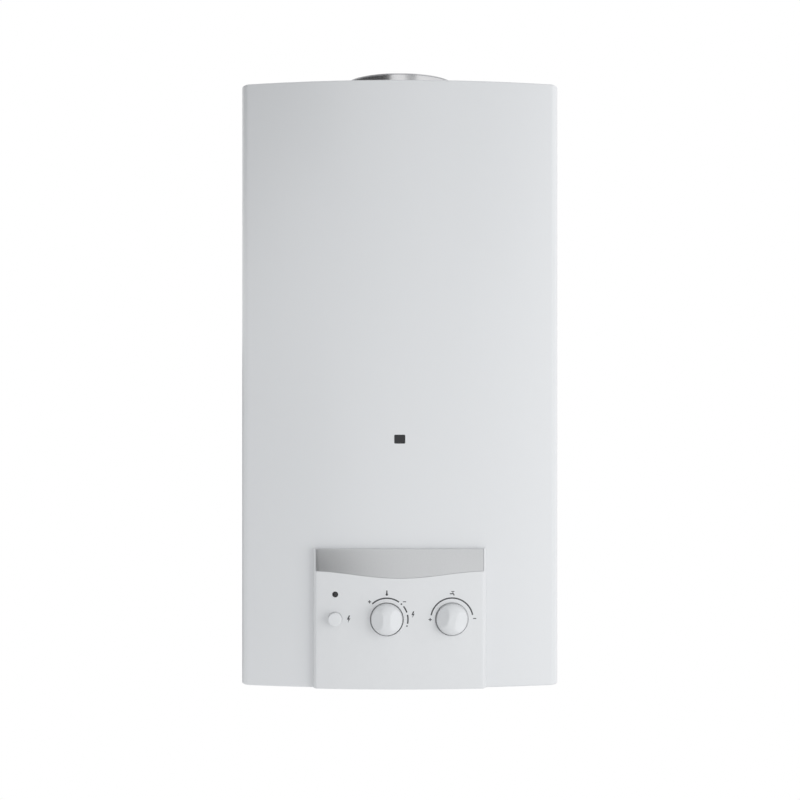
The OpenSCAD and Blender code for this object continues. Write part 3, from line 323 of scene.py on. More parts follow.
RECIPES = {
    "white_enamel": ((0.8, 0.808, 0.818), (0.794, 0.802, 0.812), "even", 40, (0.27, 0.3), 0.004),
    "fascia_plastic": ((0.805, 0.812, 0.82), (0.785, 0.792, 0.8), "even", 120, (0.3, 0.4), 0.015),
    "silver_trim": ((0.66, 0.67, 0.68), (0.6, 0.61, 0.62), "even", 900, (0.32, 0.38), 0.01, 0.95),
    "knob_plastic": ((0.8, 0.81, 0.82), (0.775, 0.785, 0.795), "even", 160, (0.28, 0.36), 0.01),
    "lens_plastic": ((0.03, 0.03, 0.033), (0.016, 0.016, 0.018), "even", 300, (0.18, 0.28), 0.01),
    "sight_glass": ((0.02, 0.021, 0.024), (0.01, 0.011, 0.013), "even", 200, (0.04, 0.1), 0.0),
    "galvanised_steel": ((0.7, 0.71, 0.73), (0.58, 0.59, 0.61), "spangle", 150, (0.32, 0.46), 0.01, 1),
    "plated_screws": ((0.74, 0.74, 0.75), (0.6, 0.6, 0.62), "lines", 700, (0.2, 0.34), 0.01, 1),
    "flue_steel": ((0.76, 0.76, 0.77), (0.66, 0.66, 0.67), "lines", 260, (0.2, 0.28), 0.01, 1),
    "stainless": ((0.58, 0.56, 0.53), (0.42, 0.38, 0.33), "lines", 200, (0.3, 0.45), 0.02, 1),
    "copper": ((0.86, 0.5, 0.34), (0.62, 0.3, 0.18), "even", 45, (0.22, 0.42), 0.02, 1),
    "brass": ((0.8, 0.62, 0.3), (0.66, 0.48, 0.2), "lines", 420, (0.22, 0.36), 0.01, 1),
    "cast_aluminium": ((0.7, 0.71, 0.72), (0.56, 0.57, 0.58), "even", 260, (0.45, 0.62), 0.1, 1),
    "black_plastic": ((0.055, 0.055, 0.06), (0.032, 0.032, 0.036), "even", 240, (0.45, 0.6), 0.03),
    "rubber": ((0.04, 0.04, 0.042), (0.025, 0.025, 0.027), "even", 300, (0.6, 0.78), 0.04),
    "ceramic": ((0.86, 0.84, 0.79), (0.78, 0.75, 0.69), "even", 180, (0.35, 0.5), 0.02),
}
finish = {name: dress(name, *recipe) for name, recipe in RECIPES.items()}
printing_ink = dress("printing_ink", (0.075, 0.077, 0.082), (0.055, 0.056, 0.06),
                     "even", 600, (0.45, 0.6), 0.0)

for part in frame["record"]["subparts"]:
    node = frame["nodes"][part["node"]]
    node.data.materials.clear()
    node.data.materials.append(finish[part["material_slot"]])
print("finishes:", len(finish))

# %% [markdown]
# The cover is one sheet of enamelled steel, bent round the sides, bowed across the front and turned in
# at top and bottom. Its plan is simple: two straight sides, two edge arcs and one wide bow. The bow's
# radius follows from its fall. Where an edge arc meets the bow is found by halving, because that point
# has no short formula.

# %% Sizes of the cover
cover_lo, cover_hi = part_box("front_cover")
casing_w = cover_hi.x - cover_lo.x
casing_h = cover_hi.z - cover_lo.z
bottom = cover_lo.z
front_bow = 24 * MM
edge_r = 20 * MM
edge_share = 0.65
sheet_t = 1 * MM
lip_w = 12 * MM
hem_r = 2.2 * MM
crease_r = 1.2 * MM
HALVINGS = 40

bow_r = (casing_w ** 2 / 4 + front_bow ** 2) / (2 * front_bow)
bow_y = cover_lo.y + bow_r
edge_x = casing_w / 2 - edge_r
edge_y = cover_lo.y + front_bow + edge_share * edge_r


def on_bow(x, radius):
    """The depth at x of an arc about the bow's centre."""
    return bow_y - math.sqrt(radius ** 2 - x ** 2)


def bow_span(x, radius):
    """The angle in degrees of an arc about the bow's centre, from -x to x."""
    return 2 * math.degrees(math.asin(x / radius))


low, high = 0.0, math.pi / 2
for _ in range(HALVINGS):
    middle = (low + high) / 2
    x = edge_x + edge_r * math.sin(middle)
    outside = edge_y - edge_r * math.cos(middle) < on_bow(x, bow_r)
    low, high = (middle, high) if outside else (low, middle)
crease = low
crease_x = edge_x + edge_r * math.sin(crease)
print("bow radius", round(bow_r, 4), "crease at x", round(crease_x, 4))

# %% [markdown]
# The plan is raised into a block, its creases and rims are rolled with bevels, and each end is opened
# into a narrow lip. The plan runs on past the rear, so that one cut leaves a clean open back. The
# sheet's thickness comes last, toward the inside.

# %% The cover's sheet
REAR = 30 * MM
EDGE_STEPS = 12
BOW_STEPS = 96
CREASE_STEPS = 3

bm = bmesh.new()
first = bm.verts.new((-casing_w / 2, REAR, bottom))
vert = run(bm, first, (-casing_w / 2, edge_y, bottom))
vert = sweep(bm, vert, (-edge_x, edge_y, bottom), 90 - math.degrees(crease), EDGE_STEPS)
vert = sweep(bm, vert, (0, bow_y, bottom), bow_span(crease_x, bow_r), BOW_STEPS)
vert = sweep(bm, vert, (edge_x, edge_y, bottom), 90 - math.degrees(crease), EDGE_STEPS)
vert = run(bm, vert, (casing_w / 2, REAR, bottom))
bm.edges.new((vert, first))
lift(bm, fill(bm), (0, 0, casing_h))

upright = [e for e in bm.edges if abs(e.verts[0].co.z - e.verts[1].co.z) > casing_h / 2]
creases = [e for e in upright if abs(abs(e.verts[0].co.x) - crease_x) < NEAR]
soften(bm, creases, crease_r, CREASE_STEPS)
for level in (bottom, bottom + casing_h):
    soften(bm, edges_where(bm, lambda co: abs(co.z - level) < HAIR), hem_r)
lip_in = lip_w - hem_r
lip_scale = (1 - lip_in / (casing_w / 2), 1 + lip_in / cover_lo.y, 1)
for level in (bottom, bottom + casing_h):
    cap = [f for f in bm.faces if all(abs(v.co.z - level) < HAIR for v in f.verts)]
    rim = cap[0].edges[:]
    bmesh.ops.delete(bm, geom=cap, context="FACES_ONLY")
    made = bmesh.ops.extrude_edge_only(bm, edges=rim)["geom"]
    inner = [g for g in made if isinstance(g, bmesh.types.BMVert)]
    bmesh.ops.scale(bm, vec=lip_scale, verts=inner)
bmesh.ops.bisect_plane(bm, geom=bm.verts[:] + bm.edges[:] + bm.faces[:], plane_co=(0, cover_hi.y, 0),
                       plane_no=(0, 1, 0), clear_outer=True)
cover = as_object(bm, "casing_cover")
wall = cover.modifiers.new("sheet", "SOLIDIFY")
wall.thickness = sheet_t
wall.offset = -1
wall.use_even_offset = True
bake(cover)
print("cover sheet faces", len(cover.data.polygons))

# %% [markdown]
# Two openings go through the front of the cover: a small sight window with round corners, and a wide
# cut-out that the control fascia hides. Punching a sheet is a Boolean in real life too, so a cutter
# block for each is the natural way.

# %% Openings in the cover
WINDOW_W = 12 * MM
WINDOW_H = 9.7 * MM
WINDOW_R = 1.2 * MM
CORNER_STEPS = 6
glass_lo, glass_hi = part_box("sight_glass")
window_z = (glass_lo.z + glass_hi.z) / 2


def punch(name, x0, x1, y0, y1, z0, z1, corner):
    """A cutter block whose edges along Y are rounded."""
    bm = bmesh.new()
    face = outline(bm, [(x0, y0, z0), (x1, y0, z0), (x1, y0, z1), (x0, y0, z1)])
    lift(bm, face, (0, y1 - y0, 0))
    if corner:
        along = [e for e in bm.edges if abs(e.verts[0].co.y - e.verts[1].co.y) > HAIR]
        soften(bm, along, corner, CORNER_STEPS)
    return as_object(bm, name)


fascia_lo, fascia_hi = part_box("control_fascia")
CUT_EDGE = 12 * MM
CUT_HALF = 81.4 * MM
cut_rear = cover_lo.y + front_bow
cut_front = cover_lo.y - REAR
carve(cover, punch("window_punch", -WINDOW_W / 2, WINDOW_W / 2, cut_rear, cut_front,
                   window_z - WINDOW_H / 2, window_z + WINDOW_H / 2, WINDOW_R))
carve(cover, punch("fascia_punch", -CUT_HALF, CUT_HALF, cut_rear, cut_front,
                   fascia_lo.z + CUT_EDGE, fascia_hi.z - CUT_EDGE, 0))
install(cover, "chassis", "white_enamel", "front_cover")

# %% [markdown]
# The fascia is a moulded cap that follows the same bow, a little further out, with sides that lean so
# that it leaves its mould. A closed outer form is drawn, its corners are rounded as a mould maker
# would, and then it is hollowed, bored and recessed with cutters.

# %% The fascia's outer form
fascia_w = 182.5 * MM
fascia_draft = 3 * MM
fascia_wall = 2.5 * MM
seam = 0.2 * MM
corner_r = 1.2 * MM
rim_r = 0.6 * MM
FASCIA_STEPS = 40
CORE_DEPTH = 4 * MM
REAR_CLEAR = 0.5 * MM
RIM_STEPS = 4
fascia_r = bow_y - fascia_lo.y
fascia_rise = fascia_r - bow_r
fascia_edge = on_bow(fascia_w / 2, fascia_r)


def fascia_half(y, inset):
    """Half the fascia's width at a depth, drawn in by inset."""
    return fascia_w / 2 + fascia_draft * (y - fascia_edge) / fascia_rise - inset


def fascia_form(name, inset, rear_r, low, high):
    """The fascia's filled form, drawn in by inset, with its rear on an arc about the bow's centre."""
    front_x = fascia_half(fascia_edge + inset, inset)
    rear_x = fascia_half(on_bow(fascia_w / 2, rear_r), inset)
    front = Vector((front_x, on_bow(front_x, fascia_r - inset), low))
    rear = Vector((rear_x, on_bow(rear_x, rear_r), low))
    bm = bmesh.new()
    start = bm.verts.new((-rear.x, rear.y, low))
    vert = run(bm, start, (-front.x, front.y, low))
    centre = (0, bow_y, low)
    vert = sweep(bm, vert, centre, bow_span(front_x, fascia_r - inset), FASCIA_STEPS)
    vert = run(bm, vert, rear)
    sweep(bm, vert, centre, -bow_span(rear_x, rear_r), FASCIA_STEPS)
    weld(bm)
    lift(bm, fill(bm), (0, 0, high - low))
    if inset == 0:
        corners = [e for e in bm.edges if abs(e.verts[0].co.z - e.verts[1].co.z) > MM
                   and abs(abs(e.verts[0].co.x) - front_x) < NEAR]
        soften(bm, corners, corner_r, CORNER_STEPS)
        ahead = rear_r + REAR_CLEAR
        rims = [e for e in bm.edges if abs(e.verts[0].co.z - e.verts[1].co.z) < HAIR
                and all(math.hypot(v.co.x, v.co.y - bow_y) > ahead for v in e.verts)]
        soften(bm, rims, rim_r, RIM_STEPS)
    return as_object(bm, name)


fascia = fascia_form("fascia_cap", 0, bow_r + seam, fascia_lo.z, fascia_hi.z)
carve(fascia, fascia_form("fascia_core", fascia_wall, bow_r - CORE_DEPTH,
                          fascia_lo.z + fascia_wall, fascia_hi.z - fascia_wall))
print("fascia radius", round(fascia_r, 4), "edge at depth", round(fascia_edge, 4))

# %% [markdown]
# Behind each knob the moulding has a round seat with a hole for the spindle, and the push-button runs
# in a short guide tube. Bosses are joined on and bores cut through, each made from one round bar that
# points to the front. A Boolean can leave holes where facets of two bars almost lie on each other, so
# each bore's bar is turned a little about its axis.

# %% Seats, guide and bores
SEAT_GAP = 1 * MM
SHAFT_HOLE = 5.5 * MM
SEAT_TURN = 0.5
BUTTON_GAP = 0.3 * MM
BUTTON_FLANGE = 2 * MM
BUTTON_TURN = 1.3
LENS_FLANGE = 1.5 * MM
LENS_TURN = 2.6
GUIDE_LEN = 5 * MM
KNOB_CLEAR = 0.5 * MM
BOSS_DEPTH = 8 * MM
OVERSHOOT = 2 * MM
ROUND = 96
FRONT = Matrix.Rotation(math.pi / 2, 4, "X")


def point_forward(bm, x, rear, z, turn=0):
    """Turns an upright lathe piece by degrees and lays it toward the front, its foot at rear."""
    place = Matrix.Translation((x, rear, z)) @ FRONT
    spin = Matrix.Rotation(math.radians(turn), 4, "Z")
    bmesh.ops.transform(bm, matrix=place @ spin, verts=bm.verts[:])


def front_bar(name, x, z, steps, turn=0):
    """A stepped round bar toward the front, through (radius, depth) points."""
    rear = steps[0][1]
    profile = [(0, 0)] + [(radius, rear - depth) for radius, depth in steps]
    profile.append((0, rear - steps[-1][1]))
    bm = bmesh.new()
    lathe(bm, profile, ROUND)
    point_forward(bm, x, rear, z, turn)
    return as_object(bm, name)


def middle_of(node):
    """The middle of a node's box, its radius across X and its rear and front depths."""
    lo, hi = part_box(node)
    return (lo.x + hi.x) / 2, (lo.z + hi.z) / 2, (hi.x - lo.x) / 2, hi.y, lo.y


gas_x, control_z, knob_r, gas_rear, gas_front = middle_of("gas_knob")
water_x, _, _, water_rear, _ = middle_of("temperature_knob")
button_x, _, flange_r, plunger_rear, button_front = middle_of("igniter_button")
lens_x, lens_z, lens_flange_r, lens_rear, lens_front = middle_of("indicator_lens")
button_r = flange_r - BUTTON_FLANGE
lens_r = lens_flange_r - LENS_FLANGE
seat_y = water_rear + KNOB_CLEAR
ahead = fascia_lo.y - OVERSHOOT
guide_y = on_bow(button_x, fascia_r) + fascia_wall + GUIDE_LEN

carve(fascia, front_bar("lens_bore", lens_x, lens_z, [
    (lens_r + seam, guide_y), (lens_r + seam, ahead)], LENS_TURN))
for x in (gas_x, water_x):
    boss_r = knob_r + SEAT_GAP + fascia_wall
    boss = front_bar("boss", x, control_z, [(boss_r, seat_y + fascia_wall), (boss_r, ahead)])
    limit = fascia_form("boss_limit", MM, bow_r - BOSS_DEPTH, fascia_lo.z + MM, fascia_hi.z - MM)
    carve(boss, limit, "INTERSECT")
    carve(fascia, boss, "UNION")
tube_r = button_r + fascia_wall
carve(fascia, front_bar("guide", button_x, control_z, [
    (tube_r, guide_y), (tube_r, on_bow(button_x, fascia_r) + fascia_wall / 2)]), "UNION")
for x in (gas_x, water_x):
    carve(fascia, front_bar("seat", x, control_z, [
        (SHAFT_HOLE, seat_y + 2 * fascia_wall), (SHAFT_HOLE, seat_y),
        (knob_r + SEAT_GAP, seat_y), (knob_r + SEAT_GAP, ahead)], SEAT_TURN))
bore_r = button_r + BUTTON_GAP
carve(fascia, front_bar("button_bore", button_x, control_z, [
    (bore_r, guide_y + MM), (bore_r, ahead)], BUTTON_TURN))
print("seat depth", round(seat_y, 4), "button radius", round(button_r, 4))

# %% [markdown]
# Four hooks on the fascia's rear catch the edges of the cover's cut-out, two above and two below. Each
# is a stepped outline that is given its width and joined on.

# %% Hooks
HOOK_X = 50 * MM
HOOK_W = 12 * MM
HOOK_T = 3 * MM
HOOK_CATCH = 2.5 * MM
HOOK_REACH = 11 * MM
HOOK_GAP = 0.3 * MM
for x in (-HOOK_X, HOOK_X):
    for edge, side in ((fascia_lo.z + CUT_EDGE + HOOK_GAP, -1), (fascia_hi.z - CUT_EDGE - HOOK_GAP, 1)):
        tip = on_bow(HOOK_X + HOOK_W / 2, fascia_r) + fascia_wall / 2
        back = tip + HOOK_REACH
        step = back - HOOK_T + HOOK_GAP
        form = ((tip, -HOOK_T), (back, -HOOK_T), (back, HOOK_CATCH),
                (step, HOOK_CATCH), (step, 0), (tip, 0))
        bm = bmesh.new()
        face = outline(bm, [(x - HOOK_W / 2, y, edge + side * up) for y, up in form])
        lift(bm, face, (HOOK_W, 0, 0))
        carve(fascia, as_object(bm, "hook"), "UNION")
print("hooks reach", round(HOOK_REACH, 4), "behind the fascia's face")

# %% [markdown]
# A silver band is let into the top of the fascia. Its lower edge dips in one smooth wave, so a formula
# draws it better than a string of hand-set points. The same wave prism, lowered by a hair, recesses
# the fascia, and the gap between the two reads as the fine dark line under the band.

# %% The silver band
BAND_H = 24 * MM
BAND_DIP = 7.5 * MM
BAND_T = 1.2 * MM
BAND_SEAM = 0.35 * MM
WAVE_STEPS = 28
band_reach = fascia_w / 2 + 2 * fascia_draft


def wave_prism(name, drop):
    """The band's front view, given depth, with its lower edge moved down by drop."""
    top = fascia_hi.z + REAR / 2
    low = fascia_hi.z - BAND_H - BAND_DIP - drop
    points = [(band_reach, cut_front, top), (-band_reach, cut_front, top)]
    for i in range(-WAVE_STEPS, WAVE_STEPS + 1):
        share = i / WAVE_STEPS
        dip = BAND_DIP * (1 - math.cos(math.pi * share)) / 2
        points.append((band_reach * share, cut_front, low + dip))
    bm = bmesh.new()
    lift(bm, outline(bm, points), (0, cut_rear - cut_front, 0))
    return as_object(bm, name)


def behind_band(name):
    """A block that fills what lies behind the band."""
    bm = bmesh.new()
    radius = fascia_r - BAND_T
    reach = 2 * band_reach
    start = bm.verts.new((-reach, cut_rear + REAR, fascia_lo.z - REAR))
    vert = run(bm, start, (-reach, on_bow(reach, radius), start.co.z))
    vert = sweep(bm, vert, (0, bow_y, start.co.z), bow_span(reach, radius), 4 * FASCIA_STEPS)
    vert = run(bm, vert, (reach, start.co.y, start.co.z))
    bm.edges.new((vert, start))
    lift(bm, fill(bm), (0, 0, fascia_hi.z - fascia_lo.z + 3 * REAR))
    return as_object(bm, name)


band = fascia_form("silver_band", 0, bow_r + seam, fascia_lo.z, fascia_hi.z)
carve(band, wave_prism("band_wave", 0), "INTERSECT")
carve(band, behind_band("band_back"))
recess = wave_prism("band_recess", BAND_SEAM)
carve(recess, behind_band("recess_back"))
carve(fascia, recess)
install(fascia, "chassis", "fascia_plastic", "control_fascia")
install(band, "chassis", "silver_trim", "trim_band")

# %% [markdown]
# Each knob is turned on a lathe and then pressed in on both sides, which leaves an hourglass grip. A
# Boolean with two balls gives the form but knife-sharp edges. So the top is a formula: the lowest of
# three surfaces, the domed top and the two balls, by a soft minimum that rounds the edges as moulded
# plastic has them.

# %% The form of a knob
GRIP_W = 8.6 * MM
GRIP_WAIST = 58 * MM
KNOB_RIM = 6 * MM
KNOB_EDGE = 8 * MM
KNOB_DRAFT = 1.6 * MM
KNOB_CROWN = 4 * MM
BLEND = 0.4 * MM
SETTLE_ROUNDS = 20
knob_h = gas_rear - gas_front
drop = knob_h - KNOB_EDGE
dome_r = ((knob_r - KNOB_CROWN) ** 2 + drop ** 2) / (2 * drop)
scoop_x = GRIP_W / 2 + GRIP_WAIST
scoop_z = GRIP_WAIST ** 2 + knob_h ** 2 - (knob_r - scoop_x) ** 2 - KNOB_RIM ** 2
scoop_z /= 2 * (knob_h - KNOB_RIM)
scoop_r = math.hypot(GRIP_WAIST, knob_h - scoop_z)


def dome_height(radius):
    """The height of a knob's dome at a radius, before its sides are pressed in."""
    past = max(0, min(radius, rim_at) - KNOB_CROWN)
    return knob_h - dome_r + math.sqrt(dome_r ** 2 - past ** 2)


rim_at = knob_r
for _ in range(SETTLE_ROUNDS):
    rim_at = knob_r - KNOB_DRAFT * dome_height(rim_at) / knob_h


def grip_height(x, y):
    """The height of a knob's top at a point, the soft minimum of its dome and its two scoops."""
    top = dome_height(math.hypot(x, y))
    heights = [top]
    for side in (-1, 1):
        within = scoop_r ** 2 - (x - side * scoop_x) ** 2 - y ** 2
        heights.append(scoop_z - math.sqrt(max(0, within)))
    return top - BLEND * math.log(sum(math.exp((top - h) / BLEND) for h in heights))


print("knob height", round(knob_h, 4), "grip at its waist", round(grip_height(0, 0), 4))

# %% [markdown]
# The lathe gives a knob its fine round grid, with the hollow underside and the spindle's socket in the
# same profile. Each point near the top is then let down to the formula. The knobs ride on bodies that
# turn.

# %% Knobs
KNOB_ROUND = 0.8 * MM
KNOB_SKIRT = 2 * MM
KNOB_CAVITY = 3 * MM
HUB_R = 7 * MM
SPINDLE_R = 4.05 * MM
SOCKET = 12 * MM
RINGS = 44
SPOKES = 192
WATER_TURN = 14


def knob(name, node, x, rear, turn, body):
    """A knob with its grip, its hollow underside and its spindle socket."""
    profile = [(rim_at * i / RINGS, dome_height(rim_at * i / RINGS)) for i in range(RINGS + 1)]
    under = knob_r - KNOB_SKIRT
    profile += [(knob_r, 0), (under, 0), (under, KNOB_CAVITY), (HUB_R, KNOB_CAVITY), (HUB_R, 0),
                (SPINDLE_R, 0), (SPINDLE_R, SOCKET), (0, SOCKET)]
    bm = bmesh.new()
    lathe(bm, profile, SPOKES)
    rim = edges_where(bm, lambda co: abs(math.hypot(co.x, co.y) - rim_at) < NEAR)
    soften(bm, rim, KNOB_ROUND, RIM_STEPS)
    for v in bm.verts:
        top = dome_height(math.hypot(v.co.x, v.co.y))
        if v.co.z > top - 2 * KNOB_ROUND:
            v.co.z += grip_height(v.co.x, v.co.y) - top
    point_forward(bm, x, rear, control_z, -turn)
    install(as_object(bm, name), body, "knob_plastic", node)


knob("gas_dial", "gas_knob", gas_x, gas_rear, 0, "gas_control")
knob("temperature_dial", "temperature_knob", water_x, water_rear, WATER_TURN, "temperature_control")

# %% [markdown]
# The push-button and the little lamp lens are turned pieces too: a profile, one turn of the lathe, and
# a bevel on the rim that a finger meets.

# %% Push-button and lens
BUTTON_ROUND = 1.2 * MM
BUTTON_CROWN = 0.3 * MM
FLANGE_LEN = 2 * MM
PLUNGER_R = 3 * MM
LENS_FLANGE_T = 1.2 * MM
LENS_DOME = 0.4 * MM
LENS_SHOULDER = 0.25 * MM
LENS_ROUND = 0.3 * MM
CROWN_SHARE = 0.75
FLAT_SHARE = 0.4
SHOULDER_SHARE = 0.6


def turned(name, profile, x, z, rear, ring, size):
    """A lathe piece that points to the front, with one ring of its edges rounded."""
    bm = bmesh.new()
    lathe(bm, profile, ROUND)
    radius, height = ring
    rim = edges_where(bm, lambda co: abs(math.hypot(co.x, co.y) - radius) < NEAR
                      and abs(co.z - height) < NEAR)
    soften(bm, rim, size)
    point_forward(bm, x, rear, z)
    return as_object(bm, name)


flange_at = plunger_rear - (guide_y + BUTTON_GAP + FLANGE_LEN)
button_top = plunger_rear - button_front
button_rim = button_top - BUTTON_CROWN
button = turned("push_button", [
    (0, 0), (PLUNGER_R, 0), (PLUNGER_R, flange_at), (flange_r, flange_at),
    (flange_r, flange_at + FLANGE_LEN), (button_r, flange_at + FLANGE_LEN), (button_r, button_rim),
    (button_r * CROWN_SHARE, button_top - BUTTON_CROWN / 3), (button_r * FLAT_SHARE, button_top),
    (0, button_top)],
    button_x, control_z, plunger_rear, (button_r, button_rim), BUTTON_ROUND)
install(button, "igniter", "knob_plastic", "igniter_button")

lens_top = lens_rear - lens_front
lens_piece = turned("lamp_lens", [
    (0, 0), (lens_flange_r, 0), (lens_flange_r, LENS_FLANGE_T), (lens_r, LENS_FLANGE_T),
    (lens_r, lens_top), (lens_r * SHOULDER_SHARE, lens_top + LENS_SHOULDER),
    (0, lens_top + LENS_DOME)],
    lens_x, lens_z, lens_rear, (lens_r, lens_top), LENS_ROUND)
install(lens_piece, "chassis", "lens_plastic", "indicator_lens")

# %% [markdown]
# The marks round the knobs are pad-printed. They could be painted by a material, but a printed mark has
# a crisp outline, so each is a thin raised film instead: flat shapes drawn in the front view, given a
# little thickness and laid on the bow of the fascia. An arc is an edge swept about the knob's middle.

# %% Printing helpers
SCALE_R = 22.9 * MM
LINE_W = 1.5 * MM
ARC_STEP = 3
DOT_SIDES = 28
ink = bmesh.new()


def about(x, degrees, radius):
    """A point in the front view, at a clock angle and a radius from a knob's middle."""
    turn = math.radians(degrees)
    return x + radius * math.sin(turn), control_z + radius * math.cos(turn)


def scale_arc(x, start, end):
    """A printed arc between two clock angles."""
    points = [about(x, start, SCALE_R + s * LINE_W / 2) for s in (-1, 1)]
    inner = ink.verts.new((points[0][0], 0, points[0][1]))
    outer = run(ink, inner, (points[1][0], 0, points[1][1]))
    edge = inner.link_edges[0]
    steps = max(3, round(abs(end - start) / ARC_STEP))
    bmesh.ops.spin(ink, geom=[inner, outer, edge], cent=(x, 0, control_z), axis=(0, 1, 0),
                   angle=math.radians(end - start), steps=steps)


def dot(x, z, radius):
    """A printed round dot."""
    place = Matrix.Translation((x, 0, z)) @ FRONT
    bmesh.ops.create_circle(ink, cap_ends=True, segments=DOT_SIDES, radius=radius, matrix=place)


def stamp(x, z, points, size):
    """A printed shape through points in units of size about its middle."""
    outline(ink, [(x + px * size, 0, z + pz * size) for px, pz in points])


print("scale radius", round(SCALE_R, 4), "line", round(LINE_W, 4))

# %% [markdown]
# A dial is set out by clock angles and radii about its knob, so the marks are listed that way, and each
# shape is drawn in units of its own size. The scales end where the knobs' stops are.

# %% Printed marks
PLUS = [(-1, -0.28), (-0.28, -0.28), (-0.28, -1), (0.28, -1), (0.28, -0.28), (1, -0.28),
        (1, 0.28), (0.28, 0.28), (0.28, 1), (-0.28, 1), (-0.28, 0.28), (-1, 0.28)]
MINUS = [(-1, -0.28), (1, -0.28), (1, 0.28), (-1, 0.28)]
BOLT = [(0.02, 1), (-0.46, -0.16), (-0.06, -0.12), (-0.2, -1), (0.46, 0.24), (0.08, 0.2), (0.4, 1)]
STEM = [(-0.26, -0.5), (0.26, -0.5), (0.26, 1), (-0.26, 1)]
TAP = [(-1, 0.05), (0.1, 0.05), (0.1, 0.6), (-0.4, 0.6), (-0.4, 0.9), (0.9, 0.9), (0.9, 0.6),
       (0.4, 0.6), (0.4, 0.05), (0.75, -0.15), (0.9, -0.5), (0.9, -0.9), (0.5, -0.9), (0.5, -0.6),
       (0.3, -0.4), (-1, -0.4)]
ARCS = ((gas_x, -43.5, 35), (gas_x, 52, 71), (gas_x, 77.5, 102), (water_x, -79, 79))
DOTS = (43.7, 108.3)
DOT_R = 0.85 * MM
SIGNS = ((gas_x, -44.6, 26.6 * MM, PLUS, 1.7 * MM), (gas_x, 45, 27 * MM, MINUS, 1.7 * MM),
         (gas_x, 79.5, 28.8 * MM, BOLT, 3.6 * MM), (water_x, -90.7, 23.6 * MM, PLUS, 1.7 * MM),
         (water_x, 89, 24.8 * MM, MINUS, 1.7 * MM), (water_x, 0.8, 28 * MM, TAP, 2.6 * MM),
         (-55.4 * MM, 0, 0, BOLT, 4 * MM), (gas_x, 0, 28.6 * MM, STEM, 2.6 * MM))
BULB_AT = 26.9 * MM
BULB_R = 1.3 * MM
FILM = 0.05 * MM

for x, start, end in ARCS:
    scale_arc(x, start, end)
for angle in DOTS:
    dot(*about(gas_x, angle, SCALE_R), DOT_R)
for x, angle, radius, shape, size in SIGNS:
    stamp(*about(x, angle, radius), shape, size)
dot(*about(gas_x, 0, BULB_AT), BULB_R)

raised = set(lift(ink, ink.faces[:], (0, -FILM, 0)))
for v in ink.verts:
    v.co.y = on_bow(v.co.x, fascia_r) + (-FILM if v in raised else FILM)
marks = install(as_object(ink, "printed_marks"), "chassis", "black_plastic")
marks.data.materials.clear()
marks.data.materials.append(printing_ink)

# %% [markdown]
# The flue collar is a short spun tube with a rolled rim, which stiffens the edge and keeps it from
# cutting fingers. Wall, foot and rolled bead are one profile, taken round the lathe.

# %% Flue collar
COLLAR_R = 62.5 * MM
COLLAR_T = 1 * MM
COLLAR_ROUND = 160
FOOT_T = 1.2 * MM
BEAD_R = 0.8 * MM
BEAD_START = -60
BEAD_STEP = 20
BEAD_POINTS = 13
collar_lo, collar_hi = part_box("flue_collar")
collar_h = collar_hi.z - collar_lo.z
foot_r = (collar_hi.x - collar_lo.x) / 2
collar_y = (collar_lo.y + collar_hi.y) / 2
inner_r = COLLAR_R - COLLAR_T
profile = [(inner_r, 0), (foot_r, 0), (foot_r, FOOT_T), (COLLAR_R, FOOT_T)]
profile.append((COLLAR_R, collar_h - 2 * BEAD_R))
bead_x = inner_r + BEAD_R
bead_z = collar_h - BEAD_R
for i in range(BEAD_POINTS):
    bend = math.radians(BEAD_START + BEAD_STEP * i)
    profile.append((bead_x + BEAD_R * math.cos(bend), bead_z + BEAD_R * math.sin(bend)))
profile.append((inner_r, 0))
bm = bmesh.new()
lathe(bm, profile, COLLAR_ROUND)
bmesh.ops.translate(bm, vec=(0, collar_y, collar_lo.z), verts=bm.verts[:])
install(as_object(bm, "flue_tube"), "chassis", "flue_steel", "flue_collar")

# %% [markdown]
# Screws and nuts are bought, not drawn, so one pattern of each serves every place. The places come
# from the frame: each separate solid of a node gives a box, and the pattern is set into it.

# %% Patterns and places
slot_of = {part["node"]: part["material_slot"] for part in frame["record"]["subparts"]}
RIGHT = Matrix.Rotation(math.pi / 2, 4, "Y")
LEFT = Matrix.Rotation(-math.pi / 2, 4, "Y")
UP = Matrix.Identity(4)


def islands(node):
    """The points of each separate solid in a node."""
    bm = bmesh.new()
    bm.from_mesh(frame["nodes"][node].data)
    weld(bm)
    rest = set(bm.verts)
    solids = []
    while rest:
        fresh = [rest.pop()]
        solids.append([])
        while fresh:
            v = fresh.pop()
            solids[-1].append(v.co.copy())
            near = {e.other_vert(v) for e in v.link_edges} & rest
            rest -= near
            fresh += near
    bm.free()
    return solids


def box_of(points):
    """The low and high corners of some points."""
    axes = list(zip(*points))
    return Vector([min(axis) for axis in axes]), Vector([max(axis) for axis in axes])


def scatter(name, node, copies):
    """Sets patterns at their places, as one piece that stands for a node."""
    bm = bmesh.new()
    for pattern, place in copies:
        count = len(bm.verts)
        bm.from_mesh(pattern.data)
        bmesh.ops.transform(bm, matrix=place, verts=bm.verts[:][count:])
    for pattern in {pattern for pattern, _ in copies}:
        bpy.data.objects.remove(pattern)
    install(as_object(bm, name), "chassis", slot_of[node], node)


print("cover screws found:", len(islands("cover_screws")))

# %% [markdown]
# A screw head is one turned profile, domed for sheet metal and straight-sided where it is sunk into a
# casting. The cross recess is a Boolean with two crossed bars, as a punch forms it.

